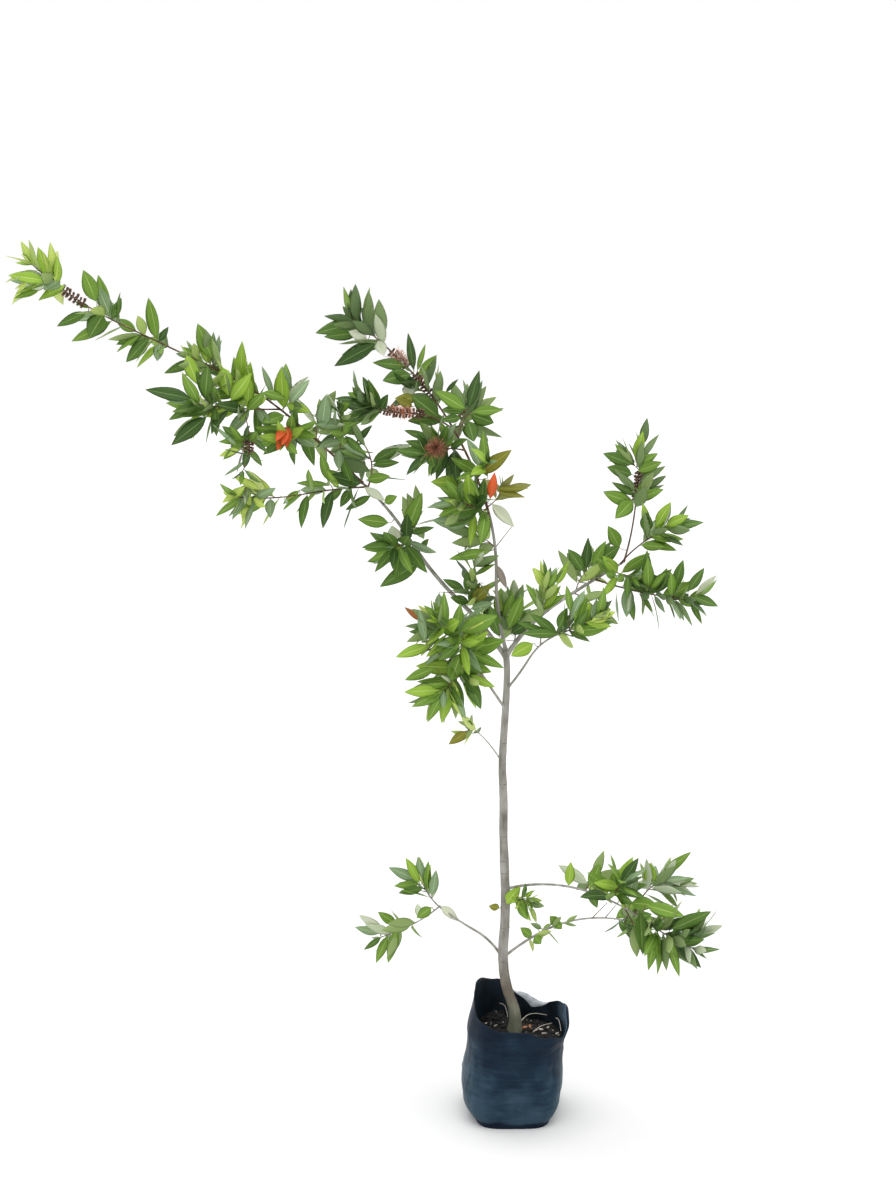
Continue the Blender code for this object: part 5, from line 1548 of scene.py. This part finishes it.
def film_relief(turn, height):
    """How far the film stands out or in: slack, dents, creases and folds."""
    x = math.cos(turn)
    y = math.sin(turn)
    degrees = math.degrees(turn)
    relief = 0
    for depth, across, up, start in SLACK:
        relief += depth * noise.noise(Vector((x * across, y * across, height * up + start)))
    for middle, centre, wide, depth, slope in CREASES:
        away = from_centre(degrees - centre)
        relief += depth * MM * bell((height - middle - slope * away) / CREASE_HALF) * bell(away / wide)
    for centre, low, high, depth, lean in FOLDS:
        sway = FOLD_SWAY * noise.noise(Vector((height * 26, centre, 7)))
        away = from_centre(degrees - centre - sway - lean * (height - low))
        inside = max(0.0, min((height - low) / FOLD_ENDS, 1, (high - height) / FOLD_ENDS))
        relief += depth * MM * bell(away / FOLD_HALF) * inside * inside
    relief *= min(height / RELIEF_FROM, 1)
    for centre, wide, middle, tall, most in BULGES:
        away = from_centre(degrees - centre)
        relief += most * bell(away / wide) * bell((height - middle) / tall)
    centre, wide, tall, most = CURL
    away = from_centre(degrees - centre)
    near_rim = max(0.0, 1 - (rim_height(turn) - height) / tall)
    relief -= most * near_rim * near_rim * bell(away / wide)
    return relief + FOOT_SPREAD * math.exp(-height / FOOT_SPREAD_HEIGHT)


def film_rings():
    """Rings of points up the outside of the film and down its inside."""
    turns = [2 * math.pi * k / FILM_COLUMNS for k in range(FILM_COLUMNS)]
    rings = []
    for row in range(FILM_ROWS + 1):
        share = row / FILM_ROWS
        rings.append([(turn, share * film_top(turn), 0.0) for turn in turns])
    for row in range(INSIDE_ROWS):
        share = row / (INSIDE_ROWS - 1)
        rings.append([
            (turn, film_top(turn) * (1 - share) + INSIDE_DOWN_TO * share, FILM_THICKNESS) for turn in turns])
    return [
        [film_point(turn, height, inset - film_relief(turn, height)) for turn, height, inset in ring]
        for ring in rings]


def make_bag():
    """The film of the bag: outside, edge and inside in one closed skin."""
    rings = film_rings()
    faces = ring_grid_faces(len(rings), FILM_COLUMNS)
    slots = [int(number >= FILM_ROWS * FILM_COLUMNS) for number in range(len(faces))] + [0, 1]
    last = (len(rings) - 1) * FILM_COLUMNS
    faces += [tuple(range(FILM_COLUMNS))[::-1], tuple(range(last, last + FILM_COLUMNS))]
    heap = Heap()
    heap.add(rings, faces, slots)
    piece = heap.piece("grow_bag_film", [film_material(), film_inside_material()])
    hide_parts("grow_bag")


def make_strip():
    """The folded strip of film at the back right, a thin closed sheet that hangs from the rim."""
    first, last = STRIP_TURNS
    wide = STRIP_ROWS + 1
    front = []
    for column in range(STRIP_COLUMNS + 1):
        share = column / STRIP_COLUMNS
        turn = math.radians(first + (last - first) * share)
        top = rim_height(turn) + 0.5 * MM
        depth = STRIP_DEPTH * min(share / 0.55, (1 - share) / 0.45) + 1.2 * MM
        for row in range(wide):
            down = row / STRIP_ROWS
            inset = STRIP_INSET + 1.5 * MM * math.sin(math.pi * down) - 1.8 * MM * (1 - down)
            inset += 0.8 * MM * noise.noise(Vector((share * 6, down * 2, 4)))
            front.append(film_point(turn, top - depth * down, inset - film_relief(turn, top)))
    front = np.array(front)
    outwards = front * np.array([1, 1, 0])
    outwards /= np.linalg.norm(outwards, axis=1)[:, None]
    count = len(front)
    faces = []
    for a in range(count - wide):
        if a % wide < STRIP_ROWS:
            face = (a, a + 1, a + wide + 1, a + wide)
            faces += [face, tuple(k + count for k in face[::-1])]
    index = np.arange(count).reshape(-1, wide)
    border = np.concatenate([index[:, 0], index[-1, 1:], index[-2::-1, -1], index[0, -2:0:-1]]).tolist()
    for a, b in zip(border, border[1:] + border[:1]):
        faces.append((a, b, b + count, a + count))
    heap = Heap()
    heap.add(np.concatenate([front, front + outwards * STRIP_THICKNESS]), faces)
    piece = heap.piece("film_strip", [strip_material()])


def soil_height(x, y, share):
    """The height of the soil's surface at a place, from its share of the way to the edge."""
    edge = BAG_RINGS[-1][0]
    level = SOIL_TOP + (edge - SOIL_TOP) * share * share
    lumps = noise.noise(Vector((x * SOIL_LUMPS[1], y * SOIL_LUMPS[1], 1.0))) * SOIL_LUMPS[0]
    grain = noise.noise(Vector((x * SOIL_GRAIN[1], y * SOIL_GRAIN[1], 2.0))) * SOIL_GRAIN[0]
    heap = bell((x - SOIL_HEAP[0]) / SOIL_HEAP_REACH) * bell((y - SOIL_HEAP[1]) / SOIL_HEAP_REACH)
    return level + lumps * (1 + heap) + grain + heap * SOIL_HEAP_HEIGHT


def soil_place(turn, share):
    """The place on the soil at a turn, from its share of the way to the edge."""
    edge = film_point(turn, BAG_RINGS[-1][0], BAG_WALL)
    x = TRUNK_FOOT[0] + (edge[0] - TRUNK_FOOT[0]) * share
    y = edge[1] * share
    return x, y, soil_height(x, y, share)


def make_soil():
    """The soil's surface with its lumps, down to a flat underside."""
    turns = [2 * math.pi * k / SOIL_COLUMNS for k in range(SOIL_COLUMNS)]
    points = [soil_place(turn, ring / SOIL_RINGS) for ring in range(1, SOIL_RINGS + 1) for turn in turns]
    points += [(x, y, INSIDE_DOWN_TO - 4 * MM) for x, y, _ in points[-SOIL_COLUMNS:]]
    faces = [face[::-1] for face in ring_grid_faces(SOIL_RINGS + 1, SOIL_COLUMNS)]
    last = SOIL_RINGS * SOIL_COLUMNS
    faces += [tuple(range(SOIL_COLUMNS)), tuple(range(last, last + SOIL_COLUMNS))[::-1]]
    heap = Heap()
    heap.add(points, faces)
    piece = heap.piece("soil_surface", [soil_material()])
    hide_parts("soil")


def chip(heap, place, size, thick, draw, tone):
    """A thin irregular flake that lies on the soil, a little tilted."""
    corners = draw.randint(5, 7)
    long = heading(draw.uniform(0, 360), draw.uniform(-14, 14))
    wide = unit(np.cross((draw.uniform(-0.3, 0.3), draw.uniform(-0.3, 0.3), 1), long))
    up = np.cross(long, wide)
    middle = np.array(place) + np.array([0, 0, thick * 0.6])
    ring = []
    for corner in range(corners):
        turn = 2 * math.pi * (corner + draw.uniform(-0.25, 0.25)) / corners
        reach = size / 2 * draw.uniform(0.75, 1.1)
        ring.append(middle + long * math.cos(turn) * reach + wide * math.sin(turn) * reach * 0.5)
    bowed = [point + up * draw.uniform(-0.3, 0.8) * thick for point in ring]
    points = [point + up * thick / 2 for point in bowed] + [point - up * thick / 2 for point in bowed]
    points += [middle + up * thick * 0.9, middle - up * thick * 0.5]
    faces = []
    for corner in range(corners):
        after = (corner + 1) % corners
        faces.append((2 * corners, corner, after))
        faces.append((2 * corners + 1, corners + after, corners + corner))
        faces.append((corner, corners + corner, corners + after, after))
    heap.add(points, faces, tone)


def straw(heap, points, radius):
    """A pale straw on the soil, bent through a few points."""
    smooth = []
    for k in range(len(points) - 1):
        before = points[max(k - 1, 0)]
        after = points[min(k + 2, len(points) - 1)]
        for step in range(6):
            t = step / 6
            bend = t * (1 - t) / 2
            start = points[k] + (points[k + 1] - before) * bend
            smooth.append(start * (1 - t) + (points[k + 1] - (after - points[k]) * bend) * t)
    smooth.append(points[-1])
    heap.add(*tube_grid(smooth, [radius * (1 - 0.4 * k / len(smooth)) for k in range(len(smooth))], 6), 4)


def inside_bag(pixel, above):
    """The point that a pixel shows on the soil, or before the wall where the wall hides the soil."""
    point = seen_on(pixel, SOIL_TOP + above)
    for _ in range(INSIDE_TRIES):
        turn = math.atan2(point[1], point[0])
        wall = film_point(turn, max(point[2], BAG_RINGS[-1][0]), BAG_WALL + 2 * MM)
        if np.hypot(point[0], point[1]) < np.hypot(wall[0], wall[1]):
            break
        point = seen_at(pixel, point[1] - 3 * MM * np.sign(point[1]))
    return point


def make_litter():
    """Bark chips, crumbs, dead leaves and straws on the soil."""
    heap = Heap()
    draw = random.Random(LITTER_SEED)
    for _ in range(LITTER_PIECES):
        turn = draw.uniform(0, 2 * math.pi)
        share = math.sqrt(draw.uniform(0.03, 0.86))
        size = draw.uniform(*CHIP_SIZES)
        tone = pick(CHIP_TONES, draw)
        if tone == PALE_CHIP:
            size *= PALE_CHIP_SIZE
        chip(heap, soil_place(turn, share), size, draw.uniform(0.8, 1.8) * MM, draw, tone)
    for pixel, size, tone in LITTER_PLACES:
        chip(heap, inside_bag(pixel, 1 * MM), size, 1.6 * MM, draw, tone)
    for route, rise in STRAWS:
        points = [inside_bag(pixel, 2 * MM) for pixel in route]
        points = [point + np.array([0, 0, rise * math.sin(math.pi * k / (len(points) - 1))])
                  for k, point in enumerate(points)]
        straw(heap, points, STRAW_RADIUS)
    piece = heap.piece("soil_litter", [
        litter_material("chip_dark", (14, 12, 12)), litter_material("chip_brown", (46, 35, 30)),
        litter_material("leaf_orange", (158, 108, 76)), litter_material("chip_pale", (186, 178, 170)),
        litter_material("straw_pale", (206, 198, 184))], False)


def make_stage():
    """The pale floor, the even sky with one high soft light, and the camera of the photograph."""
    bpy.ops.mesh.primitive_plane_add(size=FLOOR_SIZE)
    floor = bpy.context.object
    floor.name = "floor"
    floor.data.materials.append(new_material("pale_floor", FLOOR_TONE, 0.9)[0])
    scene = bpy.context.scene
    world = bpy.data.worlds.new("studio")
    world.use_nodes = True
    sky = world.node_tree.nodes["Background"]
    sky.inputs["Color"].default_value = (1, 1, 1, 1)
    sky.inputs["Strength"].default_value = 1.0
    scene.world = world
    sun = bpy.data.lights.new("high_soft_light", "SUN")
    sun.energy = SUN_STRENGTH
    sun.angle = math.radians(SUN_ANGLE)
    link("high_soft_light", sun).rotation_euler = Vector(SUN_HEADING).to_track_quat("-Z", "Y").to_euler()
    scene.view_settings.view_transform = "Standard"
    lens = bpy.data.cameras.new("camera")
    lens.sensor_width = SENSOR
    lens.lens = FOCAL_PIXELS / PHOTO_SIZE[1] * SENSOR
    camera = link("camera", lens)
    camera.location = CAMERA_PLACE
    camera.rotation_euler = (math.radians(90 - CAMERA_DOWN), 0, 0)
    scene.camera = camera


make_stage()
AXES = all_axes()
LEAVES, TWIGS = grow_all(AXES)
SINGLE_LEAVES, SINGLE_TWIGS = all_singles(AXES)
make_wood(AXES, TWIGS, SINGLE_TWIGS)
make_leaves(LEAVES, SINGLE_LEAVES)
make_capsules(AXES)
make_filaments(AXES)
make_bag()
make_strip()
make_soil()
make_litter()
print("leaves", sum(map(len, LEAVES.values())), "twigs", sum(map(len, TWIGS.values())))
